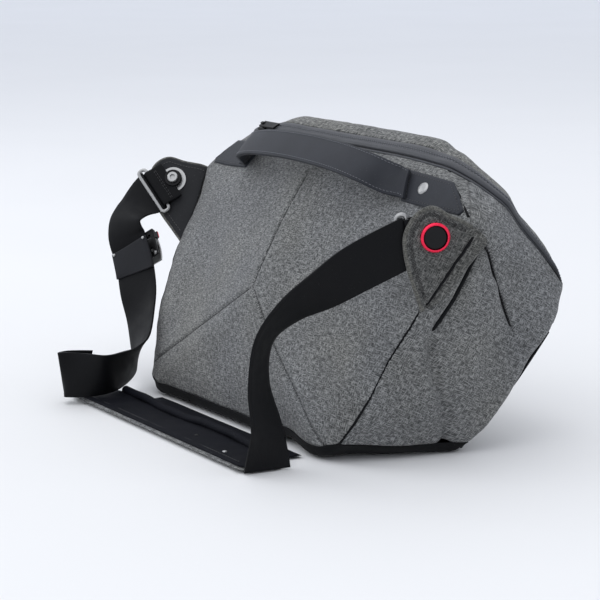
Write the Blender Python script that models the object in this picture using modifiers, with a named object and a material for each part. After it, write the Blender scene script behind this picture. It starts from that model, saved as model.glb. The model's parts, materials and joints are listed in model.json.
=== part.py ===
"""Camera sling bag: padded body, hinged lid, dividers, wings with strap pivots, and the strap.

Bag coordinates are x across, d depth from the back panel towards the front, v height up the
back panel. World Z is up, the bag stands on its sloping base, and the origin is the middle of
the base's underside.
"""
import math

import bmesh
import bpy
from mathutils import Matrix, Vector

# Driving dimensions, in metres
LEAN = math.radians(26.0)
BASE_DEPTH = 0.108
HALF_BASE = 0.160
HALF_WIDE = 0.200
WIDE_V = 0.206
HALF_TOP = 0.149
RIM_V = 0.243
NOSE = (0.174, 0.124, 0.1975)
SHOULDER = (0.186, 0.034, 0.2305)
RIDGE = (0.135, 0.016, 0.268)
RIDGE_SIDE = (0.168, 0.050, 0.248)
APEX = (0.0, -0.031, 0.111)
APEX_TOP = (0.0, -0.021, 0.217)
FRONT_TOP = (0.125, 0.132, 0.175)
FRONT_LOW = (0.115, 0.114, 0.075)
CORE = (0.0, 0.055, 0.125)

PANEL = 0.005
LINER = 0.002
LINER_SCALE = (0.93, 0.86, 0.88)
DIVIDER_SCALE = (0.90, 0.78, 0.80)
GAP = 0.0004
SEAM = 0.0007
HINGE_CLEAR = 0.003
ZIP_LOW_V = 0.2475
ZIP_HIGH_V = 0.2580

WEBBING_WIDTH = 0.038
WEBBING = 0.0016
PAD_THICK = 0.0032
PAD_LINING = 0.0014

# Origin of the strap's own coordinates: the middle of the bag's back bottom edge
BASE_MID_Y = BASE_DEPTH / 2


def bag(x, d, v):
    """Bag coordinates to world."""
    y = d * math.cos(LEAN) + v * math.sin(LEAN)
    z = v * math.cos(LEAN) - d * math.sin(LEAN)
    return Vector((x, y - BASE_MID_Y, z))


def floor(x, y, z):
    """A point given from the back bottom edge, y to the front and z up, to world."""
    return Vector((x, y - BASE_MID_Y, z))


FRONT_FOOT = (HALF_BASE, BASE_DEPTH * math.cos(LEAN), BASE_DEPTH * math.sin(LEAN))
ACROSS = Vector((1, 0, 0))
OUT_BACK = (bag(0, -1, 0) - bag(0, 0, 0)).normalized()
UP_BACK = (bag(0, 0, 1) - bag(0, 0, 0)).normalized()

COLOURS = {
    "heather": ((0.10, 0.105, 0.105), 0.9, 0.0),
    "black_cloth": ((0.015, 0.016, 0.019), 0.8, 0.0),
    "lining": ((0.03, 0.032, 0.036), 0.75, 0.0),
    "liner_grey": ((0.20, 0.20, 0.205), 0.85, 0.0),
    "slate": ((0.035, 0.040, 0.052), 0.55, 0.0),
    "zip_cover": ((0.055, 0.060, 0.072), 0.45, 0.0),
    "webbing": ((0.012, 0.013, 0.015), 0.55, 0.0),
    "aluminium": ((0.75, 0.76, 0.78), 0.3, 1.0),
    "red": ((0.70, 0.02, 0.04), 0.3, 0.8),
    "black_plastic": ((0.01, 0.01, 0.012), 0.4, 0.0),
}


def clear_scene():
    for obj in list(bpy.data.objects):
        bpy.data.objects.remove(obj, do_unlink=True)


def collection(name):
    made = bpy.data.collections.new(name)
    bpy.context.scene.collection.children.link(made)
    return made


def material(name):
    made = bpy.data.materials.get(name)
    if made:
        return made
    colour, rough, metal = COLOURS[name]
    made = bpy.data.materials.new(name)
    made.use_nodes = True
    shader = made.node_tree.nodes["Principled BSDF"]
    shader.inputs["Base Color"].default_value = (*colour, 1)
    shader.inputs["Roughness"].default_value = rough
    shader.inputs["Metallic"].default_value = metal
    return made


def finish(obj, look, group=None):
    """Give a sub-part its material and put it in its collection."""
    if look:
        obj.data.materials.clear()
        obj.data.materials.append(material(look))
    target = group or PARTS
    for owner in list(obj.users_collection):
        owner.objects.unlink(obj)
    target.objects.link(obj)
    if target is CUTTERS:
        obj.hide_render = True
        obj.display_type = "WIRE"
    return obj


def from_bmesh(name, bm, look, group=None):
    bmesh.ops.recalc_face_normals(bm, faces=bm.faces)
    mesh = bpy.data.meshes.new(name)
    bm.to_mesh(mesh)
    bm.free()
    return finish(bpy.data.objects.new(name, mesh), look, group)


def hull(name, points, look=None, group=None):
    """The convex hull of world points, with flat faces left whole."""
    bm = bmesh.new()
    for point in points:
        bm.verts.new(point)
    found = bmesh.ops.convex_hull(bm, input=bm.verts)
    spare = {item for item in found["geom_interior"] + found["geom_unused"]
             if isinstance(item, bmesh.types.BMVert)}
    bmesh.ops.delete(bm, geom=list(spare), context="VERTS")
    bmesh.ops.dissolve_limit(bm, angle_limit=math.radians(0.5), verts=bm.verts, edges=bm.edges)
    return from_bmesh(name, bm, look, group)


def solidify(obj, thickness):
    wall = obj.modifiers.new("wall", "SOLIDIFY")
    wall.thickness = thickness
    wall.offset = -1
    wall.use_even_offset = True


def boolean(obj, cutter, operation="DIFFERENCE"):
    cut = obj.modifiers.new(cutter.name, "BOOLEAN")
    cut.operation = operation
    cut.object = cutter


def bevel(obj, width, segments=2, angle=30):
    rounding = obj.modifiers.new("rounding", "BEVEL")
    rounding.width = width
    rounding.segments = segments
    rounding.limit_method = "ANGLE"
    rounding.angle_limit = math.radians(angle)


def baked(name, source, look=None, group=None):
    """A plain mesh copy of an object as its modifiers leave it."""
    bpy.context.view_layer.update()
    graph = bpy.context.evaluated_depsgraph_get()
    mesh = bpy.data.meshes.new_from_object(source.evaluated_get(graph))
    made = bpy.data.objects.new(name, mesh)
    made.matrix_world = source.matrix_world
    return finish(made, look, group)


def frame_matrix(origin, x_axis, y_axis, z_axis):
    """A placing matrix from an origin and three perpendicular directions."""
    axes = Matrix((x_axis, y_axis, z_axis)).transposed()
    return Matrix.Translation(origin) @ axes.to_4x4()


def box(name, size, place, look=None, group=None, rounding=0.0):
    bm = bmesh.new()
    bmesh.ops.create_cube(bm, size=1)
    bmesh.ops.scale(bm, vec=size, verts=bm.verts)
    obj = from_bmesh(name, bm, look, group)
    obj.matrix_world = place
    if rounding:
        bevel(obj, rounding)
    return obj


def cylinder(name, radius, height, place, look=None, group=None, sides=32):
    """A cylinder whose base is at the origin of its placing and whose axis is local Z."""
    bm = bmesh.new()
    bmesh.ops.create_cone(bm, cap_ends=True, segments=sides, radius1=radius, radius2=radius,
                          depth=height)
    bmesh.ops.translate(bm, vec=(0, 0, height / 2), verts=bm.verts)
    obj = from_bmesh(name, bm, look, group)
    obj.data.shade_smooth()
    obj.data.set_sharp_from_angle(angle=math.radians(40))
    obj.matrix_world = place
    return obj


def turned(name, profile, place, look, steps=32, closed=True):
    """A ring, or a solid knob where not closed, turned from (radius, height) points.

    The profile runs down the outer side, from the top.
    """
    bm = bmesh.new()
    verts = [bm.verts.new((radius, 0, height)) for radius, height in profile]
    following = verts[1:] + (verts[:1] if closed else [])
    for first, second in zip(verts, following):
        bm.edges.new((first, second))
    mesh = bpy.data.meshes.new(name)
    bm.to_mesh(mesh)
    bm.free()
    obj = finish(bpy.data.objects.new(name, mesh), look)
    obj.matrix_world = place
    screw = obj.modifiers.new("turn", "SCREW")
    screw.steps = steps
    screw.render_steps = steps
    screw.use_merge_vertices = True
    screw.merge_threshold = 0.00005
    return obj


def outline_plate(name, outline, thickness, place, look=None, group=None):
    """A flat plate from a 2-D outline, centred on its thickness."""
    curve = bpy.data.curves.new(name, "CURVE")
    curve.dimensions = "2D"
    curve.fill_mode = "BOTH"
    curve.extrude = thickness / 2
    spline = curve.splines.new("POLY")
    spline.points.add(len(outline) - 1)
    for point, (x, y) in zip(spline.points, outline):
        point.co = (x, y, 0, 1)
    spline.use_cyclic_u = True
    shape = bpy.data.objects.new(name + "_outline", curve)
    shape.matrix_world = place
    finish(shape, None)
    obj = baked(name, shape, look, group)
    bpy.data.objects.remove(shape)
    bm = bmesh.new()
    bm.from_mesh(obj.data)
    bmesh.ops.remove_doubles(bm, verts=bm.verts, dist=0.00001)
    bm.to_mesh(obj.data)
    bm.free()
    return obj


def rod(name, points, radius, look, cyclic=False):
    """A round bar or tube along a line of world points."""
    curve = bpy.data.curves.new(name, "CURVE")
    curve.dimensions = "3D"
    curve.bevel_depth = radius
    curve.bevel_resolution = 2
    curve.use_fill_caps = not cyclic
    spline = curve.splines.new("POLY")
    spline.points.add(len(points) - 1)
    for point, place in zip(spline.points, points):
        point.co = (*place, 1)
    spline.use_cyclic_u = cyclic
    return finish(bpy.data.objects.new(name, curve), look)


def smooth_path(stations, steps):
    """Catmull-Rom points through a list of (centre, direction) stations."""
    vectors = [tuple(Vector(part) for part in station) for station in stations]
    first = tuple(2 * a - b for a, b in zip(vectors[0], vectors[1]))
    last = tuple(2 * a - b for a, b in zip(vectors[-1], vectors[-2]))
    padded = [first] + vectors + [last]
    found = []
    for index in range(len(vectors) - 1):
        for step in range(steps):
            t = step / steps
            found.append(tuple(
                0.5 * (2 * b + (c - a) * t + (2 * a - 5 * b + 4 * c - d) * t * t
                       + (3 * b - a - 3 * c + d) * t ** 3)
                for a, b, c, d in zip(*padded[index:index + 4])))
    found.append(vectors[-1])
    return found


def ribbon(name, stations, width, thickness, look, steps=3):
    """A strap: a strip lofted along stations of (centre, width direction), then thickened."""
    bm = bmesh.new()
    rows = []
    for centre, across in smooth_path(stations, steps):
        half = across.normalized() * width / 2
        rows.append([bm.verts.new(centre + half * side) for side in (-1, 0, 1)])
    for near, far in zip(rows, rows[1:]):
        for side in (0, 1):
            bm.faces.new((near[side], near[side + 1], far[side + 1], far[side]))
    mesh = bpy.data.meshes.new(name)
    bm.to_mesh(mesh)
    bm.free()
    obj = finish(bpy.data.objects.new(name, mesh), look)
    solidify(obj, thickness)
    obj.modifiers["wall"].offset = 0
    return obj


# The bag body -----------------------------------------------------------------------------

def both_sides(point):
    return [bag(*point), bag(-point[0], *point[1:])]


def body_points(scale=(1, 1, 1)):
    """Corners of the padded body with its lid closed, shrunk about its core."""
    corners = [(HALF_BASE, 0, 0), (HALF_WIDE, 0, WIDE_V), (HALF_TOP, 0, RIM_V), FRONT_FOOT, NOSE,
               SHOULDER, RIDGE, RIDGE_SIDE, APEX, APEX_TOP, FRONT_TOP, FRONT_LOW]
    points = []
    for corner in corners:
        moved = [c + (p - c) * s for p, c, s in zip(corner, CORE, scale)]
        points += both_sides(moved)
    return points


def padded_body(name, scale, wall):
    obj = hull(name, body_points(scale), None, CUTTERS)
    solidify(obj, wall)
    return obj


def cell(name, corners, shift):
    """The cone from the core through a panel's corners, moved outwards by shift."""
    core = bag(*CORE)
    world = [bag(*corner) for corner in corners]
    middle = sum(world, Vector()) / len(world)
    move = (middle - core).normalized() * shift
    reach = 1.6
    return hull(name, [core + move] + [core + (w - core) * reach + move for w in world],
                None, CUTTERS)


def past(start, end, share):
    """The point beyond end on the line from start, by a share of its length."""
    return tuple(a + (b - a) * (1 + share) for a, b in zip(start, end))


def mirrored_corners(*corners):
    return [corner for point in corners for corner in (point, (-point[0], *point[1:]))]


def lid_wedge(name, low_v, high_v):
    """The wedge about the lid's hinge line between two heights on the back plane."""
    reach = 2.5
    half = 0.3
    nose_d, nose_v = NOSE[1:]
    points = []
    for x in (-half, half):
        points.append(bag(x, nose_d, nose_v))
        for height in (low_v, high_v):
            rise = (height - nose_v) / nose_d
            points.append(bag(x, nose_d - nose_d * reach, nose_v + rise * nose_d * reach))
    return hull(name, points, None, CUTTERS)


def lid_region(name, low_v):
    """Everything above a plane through the hinge line."""
    half = 0.3
    nose_d, nose_v = NOSE[1:]
    rise = (low_v - nose_v) / nose_d
    far = 0.3
    corners = [(nose_d, nose_v), (nose_d - far, nose_v + rise * far), (nose_d - far, nose_v + 1),
               (nose_d + 0.1, nose_v + 1), (nose_d + 0.1, nose_v)]
    return hull(name, [bag(x, *corner) for x in (-half, half) for corner in corners],
                None, CUTTERS)


def hinge_clearance():
    """A round hole along the nose line, which keeps the lid and the front panel apart."""
    place = frame_matrix(bag(-0.3, *NOSE[1:]), OUT_BACK, UP_BACK, ACROSS)
    return cylinder("hinge_clearance", HINGE_CLEAR, 0.6, place, None, CUTTERS, sides=16)


def panel(name, source, cutters, keep, look):
    """One sewn panel: what a region keeps of the padded wall, less its neighbours."""
    obj = baked(name, source, look)
    for region in keep:
        boolean(obj, region, "INTERSECT")
    for region in cutters:
        boolean(obj, region)
    done = baked(name + "_cut", obj, look)
    bpy.data.objects.remove(obj)
    done.name = name
    return done


def build_body():
    shell = padded_body("padded_wall", (1, 1, 1), PANEL)
    lining = padded_body("lining_wall", LINER_SCALE, LINER)
    clearance = hinge_clearance()
    widest = (HALF_WIDE, 0, WIDE_V)
    above_top = past(widest, (HALF_TOP, 0, RIM_V), 0.4)
    back = mirrored_corners((HALF_BASE, 0, 0), widest, above_top)
    front = mirrored_corners(past(FRONT_FOOT, NOSE, 0.3), FRONT_FOOT)
    base = mirrored_corners((HALF_BASE, 0, 0), FRONT_FOOT)
    above_rim = lid_region("above_rim", RIM_V)
    cells = {}
    for name, corners in (("back", back), ("front", front), ("base", base)):
        cells[name] = cell(name + "_cell", corners, SEAM)
        cells[name + "_wide"] = cell(name + "_wide_cell", corners, -GAP / 4)
    panel("back_panel", shell, [above_rim, clearance], [cells["back"]], "heather")
    panel("front_panel", shell, [above_rim, clearance], [cells["front"]], "heather")
    panel("base_panel", shell, [above_rim], [cells["base"]], "black_cloth")
    neighbours = [cells["back_wide"], cells["front_wide"], cells["base_wide"], above_rim, clearance]
    for side, name in ((1, "right"), (-1, "left")):
        half = box("half_" + name, (0.4, 1, 1), Matrix.Translation((side * 0.2001, 0, 0)),
                   None, CUTTERS)
        panel("gusset_" + name, shell, neighbours, [half], "heather")
    panel("interior_liner", lining, [above_rim, clearance], [], "liner_grey")
    zip_body = lid_wedge("zip_body_wedge", RIM_V + GAP, ZIP_LOW_V)
    zip_lid = lid_wedge("zip_lid_wedge", ZIP_LOW_V + GAP, ZIP_HIGH_V)
    lid = lid_region("lid_region", ZIP_HIGH_V + GAP)
    inside_lid = lid_region("inside_lid_region", RIM_V + GAP * 2)
    panel("zip_tape_body", shell, [clearance], [zip_body], "zip_cover")
    panel("zip_band_lid", shell, [clearance], [zip_lid], "zip_cover")
    panel("lid_shell", shell, [clearance], [lid], "heather")
    panel("lid_lining", lining, [clearance], [inside_lid], "lining")
    ends = [bag(side * (NOSE[0] - 0.006), *NOSE[1:]) for side in (-1, 1)]
    rod("lid_hinge_piping", ends, HINGE_CLEAR * 0.55, "zip_cover")


# Inside: dividers with fold-down flaps ---------------------------------------------------

DIVIDER_X = 0.058
DIVIDER = 0.006
DIVIDER_TOP_V = 0.132
FLAP_AXIS_V = 0.1375
FLAP_LOW_V = 0.1405
FLAP_HIGH_V = 0.193
FLAP_DEPTH = 0.078
FLAP_D = 0.045


def build_dividers():
    inside = hull("divider_limit", body_points(DIVIDER_SCALE), None, CUTTERS)
    along_depth = (bag(0, 1, 0) - bag(0, 0, 0)).normalized()
    for side, name in ((1, "right"), (-1, "left")):
        x = side * DIVIDER_X
        tall = 0.3
        place = frame_matrix(bag(x, FLAP_D, DIVIDER_TOP_V - tall / 2), ACROSS, along_depth, UP_BACK)
        slab = box("slab_" + name, (DIVIDER, 0.4, tall), place, None, CUTTERS)
        panel("divider_" + name, slab, [], [inside], "liner_grey")
        middle_v = (FLAP_LOW_V + FLAP_HIGH_V) / 2
        flap_place = frame_matrix(bag(x, FLAP_D, middle_v), ACROSS, along_depth, UP_BACK)
        size = (DIVIDER - 0.001, FLAP_DEPTH, FLAP_HIGH_V - FLAP_LOW_V)
        box("divider_flap_" + name, size, flap_place, "liner_grey", rounding=0.0012)


# The carry handle over the top of the back panel -----------------------------------------

HANDLE_WIDTH = 0.026
HANDLE = 0.0024
HANDLE_END_X = 0.108
PATCH = 0.0018
RIVET_AT = (0.136, 0.222)


def back_surface():
    """Placing for flat pieces on the right top corner of the back panel, z outwards."""
    corner = bag(HALF_TOP, 0, RIM_V)
    widest = bag(HALF_WIDE, 0, WIDE_V)
    centre = bag(*APEX_TOP)
    normal = (widest - corner).cross(centre - corner).normalized()
    if normal.dot(OUT_BACK) < 0:
        normal = -normal
    x_axis = (ACROSS - normal * ACROSS.dot(normal)).normalized()
    return frame_matrix(corner, x_axis, normal.cross(x_axis), normal)


def mirrored(obj, name):
    """The same piece on the other side of the bag."""
    made = baked(name, obj, None)
    made.data.transform(made.matrix_world)
    made.matrix_world = Matrix.Identity(4)
    made.data.transform(Matrix.Scale(-1, 4, ACROSS))
    made.data.flip_normals()
    return made


def build_handle():
    arch = [(1.0, -0.0100, 0.2215, 0.155), (0.965, -0.0205, 0.2220, 0.22),
            (0.83, -0.0335, 0.2235, 0.32), (0.50, -0.0400, 0.2262, 0.36)]

    def station(x, d, v, lean):
        return bag(x, d, v), bag(0, lean, 1) - bag(0, 0, 0)

    stations = [station(share * HANDLE_END_X, d, v, lean) for share, d, v, lean in arch]
    middle = [station(0, -0.0420, 0.2275, 0.36)]
    far = [station(-share * HANDLE_END_X, d, v, lean) for share, d, v, lean in reversed(arch)]
    ribbon("handle_strap", stations + middle + far, HANDLE_WIDTH, HANDLE, "slate", steps=4)
    surface = back_surface()
    lift = 0.0005
    outline = [(-0.0290, -0.0345), (0.0365, -0.0345), (0.0390, -0.0315), (0.0130, -0.0110),
               (-0.0400, -0.0085)]
    plate_at = surface @ Matrix.Translation((0, 0, lift + PATCH / 2))
    patch = outline_plate("handle_patch_right", outline, PATCH, plate_at, "slate")
    mirrored(patch, "handle_patch_left")
    rivet_at = surface @ Matrix.Translation((RIVET_AT[0] - HALF_TOP, RIVET_AT[1] - RIM_V,
                                             lift + PATCH + GAP))
    profile = [(0, 0.0012), (0.0040, 0.0009), (0.0052, 0.0003), (0.0052, 0), (0, 0)]
    rivet = turned("handle_rivet_right", profile, rivet_at, "aluminium", closed=False)
    mirrored(rivet, "handle_rivet_left")


# Wings, strap pivots and rings -------------------------------------------------------------

WING = 0.004
WING_LENGTH = 0.073
WING_BASE_GAP = 0.0025
HUB_ALONG = 0.0217
HUB_MARGIN = 0.0215
BAR_REACH = 0.0165
RING_GAP = 0.007
RING_WIRE = 0.0016
RING_HALF = 0.0215
SLEEVE = 0.0028
SHANK = 0.0030
LEVELS = {"cap": 0.0024, "washer": -0.0034, "connector": -0.0067, "boss": -0.0088,
          "head": -0.0119}
# Each side's wing angle from the back panel, hub distance from the edge, and connector turn
WINGS = {"right": (1, 72, 0.0195, 42), "left": (-1, 50, 0.0250, 48)}


def wing_frame(side, angle, hub_out):
    """Edge corner, hub centre, and the wing's directions: along its base, out, and outward face."""
    corner = bag(side * HALF_WIDE, 0, WIDE_V)
    along = (bag(side * HALF_BASE, 0, 0) - corner).normalized()
    turn = math.radians(angle)
    out = bag(-math.cos(turn), -math.sin(turn), 0) - bag(0, 0, 0)
    out = (out - along * out.dot(along)).normalized()
    face = along.cross(out)
    if face.x * side < 0:
        face = -face
    return corner, corner + along * HUB_ALONG + out * hub_out, along, out, face


def wing_outline(hub_out):
    """Rounded leaf about the hub, running down to a point on the edge of the back panel."""
    to_tip = Vector((WING_LENGTH - HUB_ALONG, WING_BASE_GAP - hub_out))
    tangent = math.atan2(to_tip.y, to_tip.x) + math.acos(HUB_MARGIN / to_tip.length)
    steps = 14
    points = [(0.0006, WING_BASE_GAP)]
    for step in range(steps + 1):
        angle = math.pi + (tangent - math.pi) * step / steps
        points.append((HUB_ALONG + HUB_MARGIN * math.cos(angle),
                       hub_out + HUB_MARGIN * math.sin(angle)))
    return points + [(WING_LENGTH, WING_BASE_GAP)]


def rounded_loop(half_long, short, radius, steps=4):
    """Points of a rounded rectangle, from its inner long side outwards."""
    points = []
    corners = [(half_long - radius, radius, -90), (half_long - radius, short - radius, 0),
               (radius - half_long, short - radius, 90), (radius - half_long, radius, 180)]
    for x, y, start in corners:
        for step in range(steps + 1):
            angle = math.radians(start + 90 * step / steps)
            points.append((x + radius * math.cos(angle), y + radius * math.sin(angle)))
    return points


def build_wing(name):
    side, angle, hub_out, turn = WINGS[name]
    corner, hub, along, out, face = wing_frame(side, angle, hub_out)
    flat = frame_matrix(corner, along, out, along.cross(out))
    at_hub = frame_matrix(hub, along, face.cross(along), face)

    def level(height):
        return at_hub @ Matrix.Translation((0, 0, height))

    wing = outline_plate("wing_" + name, wing_outline(hub_out), WING, flat, "heather")
    bore = cylinder("wing_bore_" + name, SHANK + 0.0005, 0.02, level(-0.01), None, CUTTERS)
    boolean(wing, bore)
    ring_profile = [(0.0092, 0.0028), (0.0103, 0.0030), (0.0111, 0.0022), (0.0111, 0),
                    (0.0092, 0)]
    turned("hub_ring_" + name, ring_profile, level(LEVELS["cap"]), "red")
    cap_profile = [(0, 0.0026), (0.0079, 0.0026), (0.0089, 0.0018), (0.0089, 0), (0, 0)]
    turned("hub_cap_" + name, cap_profile, level(LEVELS["cap"]), "black_plastic", closed=False)
    washer = [(0.0034, 0.0010), (0.0112, 0.0010), (0.0112, 0), (0.0034, 0)]
    turned("hub_washer_" + name, washer, level(LEVELS["washer"]), "aluminium")
    boss = [(0.0034, 0.0018), (0.0080, 0.0018), (0.0072, 0), (0.0034, 0)]
    turned("hub_boss_" + name, boss, level(LEVELS["boss"]), "black_plastic")
    shank_top = 0.0018 - LEVELS["head"]
    screw = [(0, shank_top), (SHANK, shank_top), (SHANK, 0.0028), (0.0046, 0.0028),
             (0.0046, 0.0006), (0.0040, 0), (0, 0)]
    bolt = turned("hub_screw_" + name, screw, level(LEVELS["head"]), "aluminium", closed=False)
    socket = cylinder("hub_socket_" + name, 0.0026, 0.003, level(LEVELS["head"] - 0.001),
                      None, CUTTERS, sides=6)
    boolean(bolt, socket)

    swing = math.radians(turn)
    reach = out * math.cos(swing) + along * math.sin(swing)
    bar = reach.cross(face).normalized()
    if bar.z < 0:
        bar = -bar
    thick = 0.0030
    middle = hub + face * (LEVELS["connector"] + thick / 2)
    connector_at = frame_matrix(middle, bar, reach, bar.cross(reach))
    build_connector(name, connector_at, thick, level)
    loop = [middle + reach * (BAR_REACH + y) + bar * x
            for x, y in rounded_loop(RING_HALF, RING_GAP, 0.0028)]
    rod("strap_ring_" + name, loop, RING_WIRE, "aluminium", cyclic=True)
    return middle + reach * (BAR_REACH + RING_GAP + 0.0036), bar


def build_connector(name, place, thick, level):
    """Folded webbing from the pivot to the ring: a round eye, spreading to a sleeve."""
    eye = 0.0098
    half_sleeve = 0.0172
    steps = 10
    outline = []
    for step in range(steps + 1):
        angle = math.radians(180 + 180 * step / steps)
        outline.append((eye * math.cos(angle), eye * math.sin(angle)))
    outline += [(half_sleeve, BAR_REACH - SLEEVE), (half_sleeve, BAR_REACH),
                (-half_sleeve, BAR_REACH), (-half_sleeve, BAR_REACH - SLEEVE)]
    plate = outline_plate("connector_" + name, outline, thick, place, "webbing")
    along_bar = place @ Matrix.Translation((-half_sleeve, BAR_REACH, 0)) @ Matrix.Rotation(
        math.radians(90), 4, "Y")
    sleeve = cylinder("sleeve_" + name, SLEEVE, 2 * half_sleeve, along_bar, None, CUTTERS)
    boolean(plate, sleeve, "UNION")
    longer = along_bar @ Matrix.Translation((0, 0, -0.01))
    boolean(plate, cylinder("sleeve_bore_" + name, RING_WIRE + 0.0004, 0.06, longer, None,
                            CUTTERS, sides=16))
    boolean(plate, cylinder("eye_bore_" + name, SHANK + 0.0005, 0.03, level(-0.015), None,
                            CUTTERS))


# The shoulder strap --------------------------------------------------------------------------

PAD_FROM_X = -0.160
PAD_TO_X = 0.1335
PAD_NEAR_Y = -0.066
PAD_FAR_Y = -0.028
FLAP_LENGTH = 0.224
FLAP_DEPTH = 0.0215
FLAP_THICK = 0.0020
FLOOR_GAP = 0.0002
# Stations of (centre from the back bottom edge, direction across the webbing)
RIGHT_RUN = [((0.167, 0.013, 0.153), (-0.06, -0.53, 0.85)),
             ((0.156, -0.010, 0.137), (0.22, -0.65, 0.72)),
             ((0.143, -0.031, 0.121), (0.48, -0.74, 0.47)),
             ((0.134, -0.047, 0.099), (0.62, -0.76, 0.20)),
             ((0.133, -0.051, 0.066), (0.60, -0.80, 0.02)),
             ((0.137, -0.047, 0.034), (0.42, -0.91, -0.05)),
             ((0.1355, -0.0455, 0.0015), (-0.08, -1.0, 0.0))]
LEFT_UPPER_RUN = [((-0.228, 0.034, 0.149), (-0.85, -0.14, 0.50)),
                  ((-0.231, 0.028, 0.143), (-0.94, -0.07, 0.34)),
                  ((-0.232, 0.024, 0.136), (-0.97, -0.25, 0.03)),
                  ((-0.230, 0.023, 0.127), (-0.86, -0.43, -0.28)),
                  ((-0.228, 0.024, 0.120), (-0.72, -0.50, -0.45))]
LEFT_LOWER_RUN = [((-0.220, 0.0225, 0.1155), (0.71, 0.47, 0.52)),
                  ((-0.208, 0.021, 0.100), (0.69, 0.52, 0.47)),
                  ((-0.196, 0.018, 0.080), (0.78, 0.50, 0.37)),
                  ((-0.184, 0.014, 0.060), (0.87, 0.25, 0.43)),
                  ((-0.168, 0.005, 0.0400), (0.88, 0.0, 0.43)),
                  ((-0.154, -0.006, 0.0285), (0.67, -0.31, 0.68)),
                  ((-0.132, -0.0300, 0.0262), (0.42, -0.16, 0.88)),
                  ((-0.120, -0.0540, 0.0262), (0.30, -0.14, 0.93)),
                  ((-0.135, -0.0750, 0.0256), (0.0, 0.20, 0.97)),
                  ((-0.1435, -0.0815, 0.0260), (0.10, -0.18, 0.95)),
                  ((-0.1465, -0.0740, 0.0265), (0.20, -0.05, 0.96)),
                  ((-0.1400, -0.0590, 0.0270), (0.32, 0.10, 0.92))]


def strap_run(stations):
    return [(floor(*centre), Vector(across)) for centre, across in stations]


def build_strap(ring_starts):
    centre, bar = ring_starts["right"]
    ribbon("webbing_right", [(centre, bar)] + strap_run(RIGHT_RUN), WEBBING_WIDTH, WEBBING,
           "webbing")
    centre, bar = ring_starts["left"]
    upper = strap_run(LEFT_UPPER_RUN)
    if bar.dot(upper[0][1]) < 0:
        bar = -bar
    ribbon("webbing_left_upper", [(centre, bar)] + upper, WEBBING_WIDTH, WEBBING, "webbing")
    ribbon("webbing_left_lower", strap_run(LEFT_LOWER_RUN), WEBBING_WIDTH, WEBBING, "webbing")
    middle = floor((PAD_FROM_X + PAD_TO_X) / 2, (PAD_NEAR_Y + PAD_FAR_Y) / 2, 0)
    size = (PAD_TO_X - PAD_FROM_X, PAD_FAR_Y - PAD_NEAR_Y)
    outline = rounded_loop(size[0] / 2, size[1], 0.008)
    corner = Matrix.Translation(middle + Vector((0, -size[1] / 2, 0)))
    pad_at = corner @ Matrix.Translation((0, 0, FLOOR_GAP + PAD_THICK / 2))
    outline_plate("strap_pad", outline, PAD_THICK, pad_at, "heather")
    lining_z = FLOOR_GAP + PAD_THICK + GAP + PAD_LINING / 2
    lining_at = corner @ Matrix.Translation((0, 0, lining_z))
    outline_plate("strap_pad_lining", outline, PAD_LINING, lining_at, "lining")
    roll = 0.0028
    height = lining_z + PAD_LINING / 2 + GAP + roll
    ends = [floor(x, PAD_FAR_Y - roll, height) for x in (-0.123, -0.05, 0.04, 0.118)]
    rod("pad_edge_roll", ends, roll, "lining")
    flap = rounded_loop(FLAP_LENGTH / 2, FLAP_DEPTH, 0.004)
    flap_at = floor(0, PAD_FAR_Y + GAP, FLOOR_GAP + FLAP_THICK / 2)
    outline_plate("pad_inner_flap", flap, FLAP_THICK, Matrix.Translation(flap_at), "lining")


# The quick adjuster on the left of the strap --------------------------------------------------

ADJUSTER_AT = (-0.2160, 0.0225, 0.1110)
ADJUSTER_ACROSS = (0.71, 0.47, 0.52)
ADJUSTER_DOWN = (0.62, -0.10, -0.78)
FRAME_SIZE = (0.046, 0.026, 0.0024)
FRAME_LEVEL = 0.0060
LEVER_LEVEL = 0.0104


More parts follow.
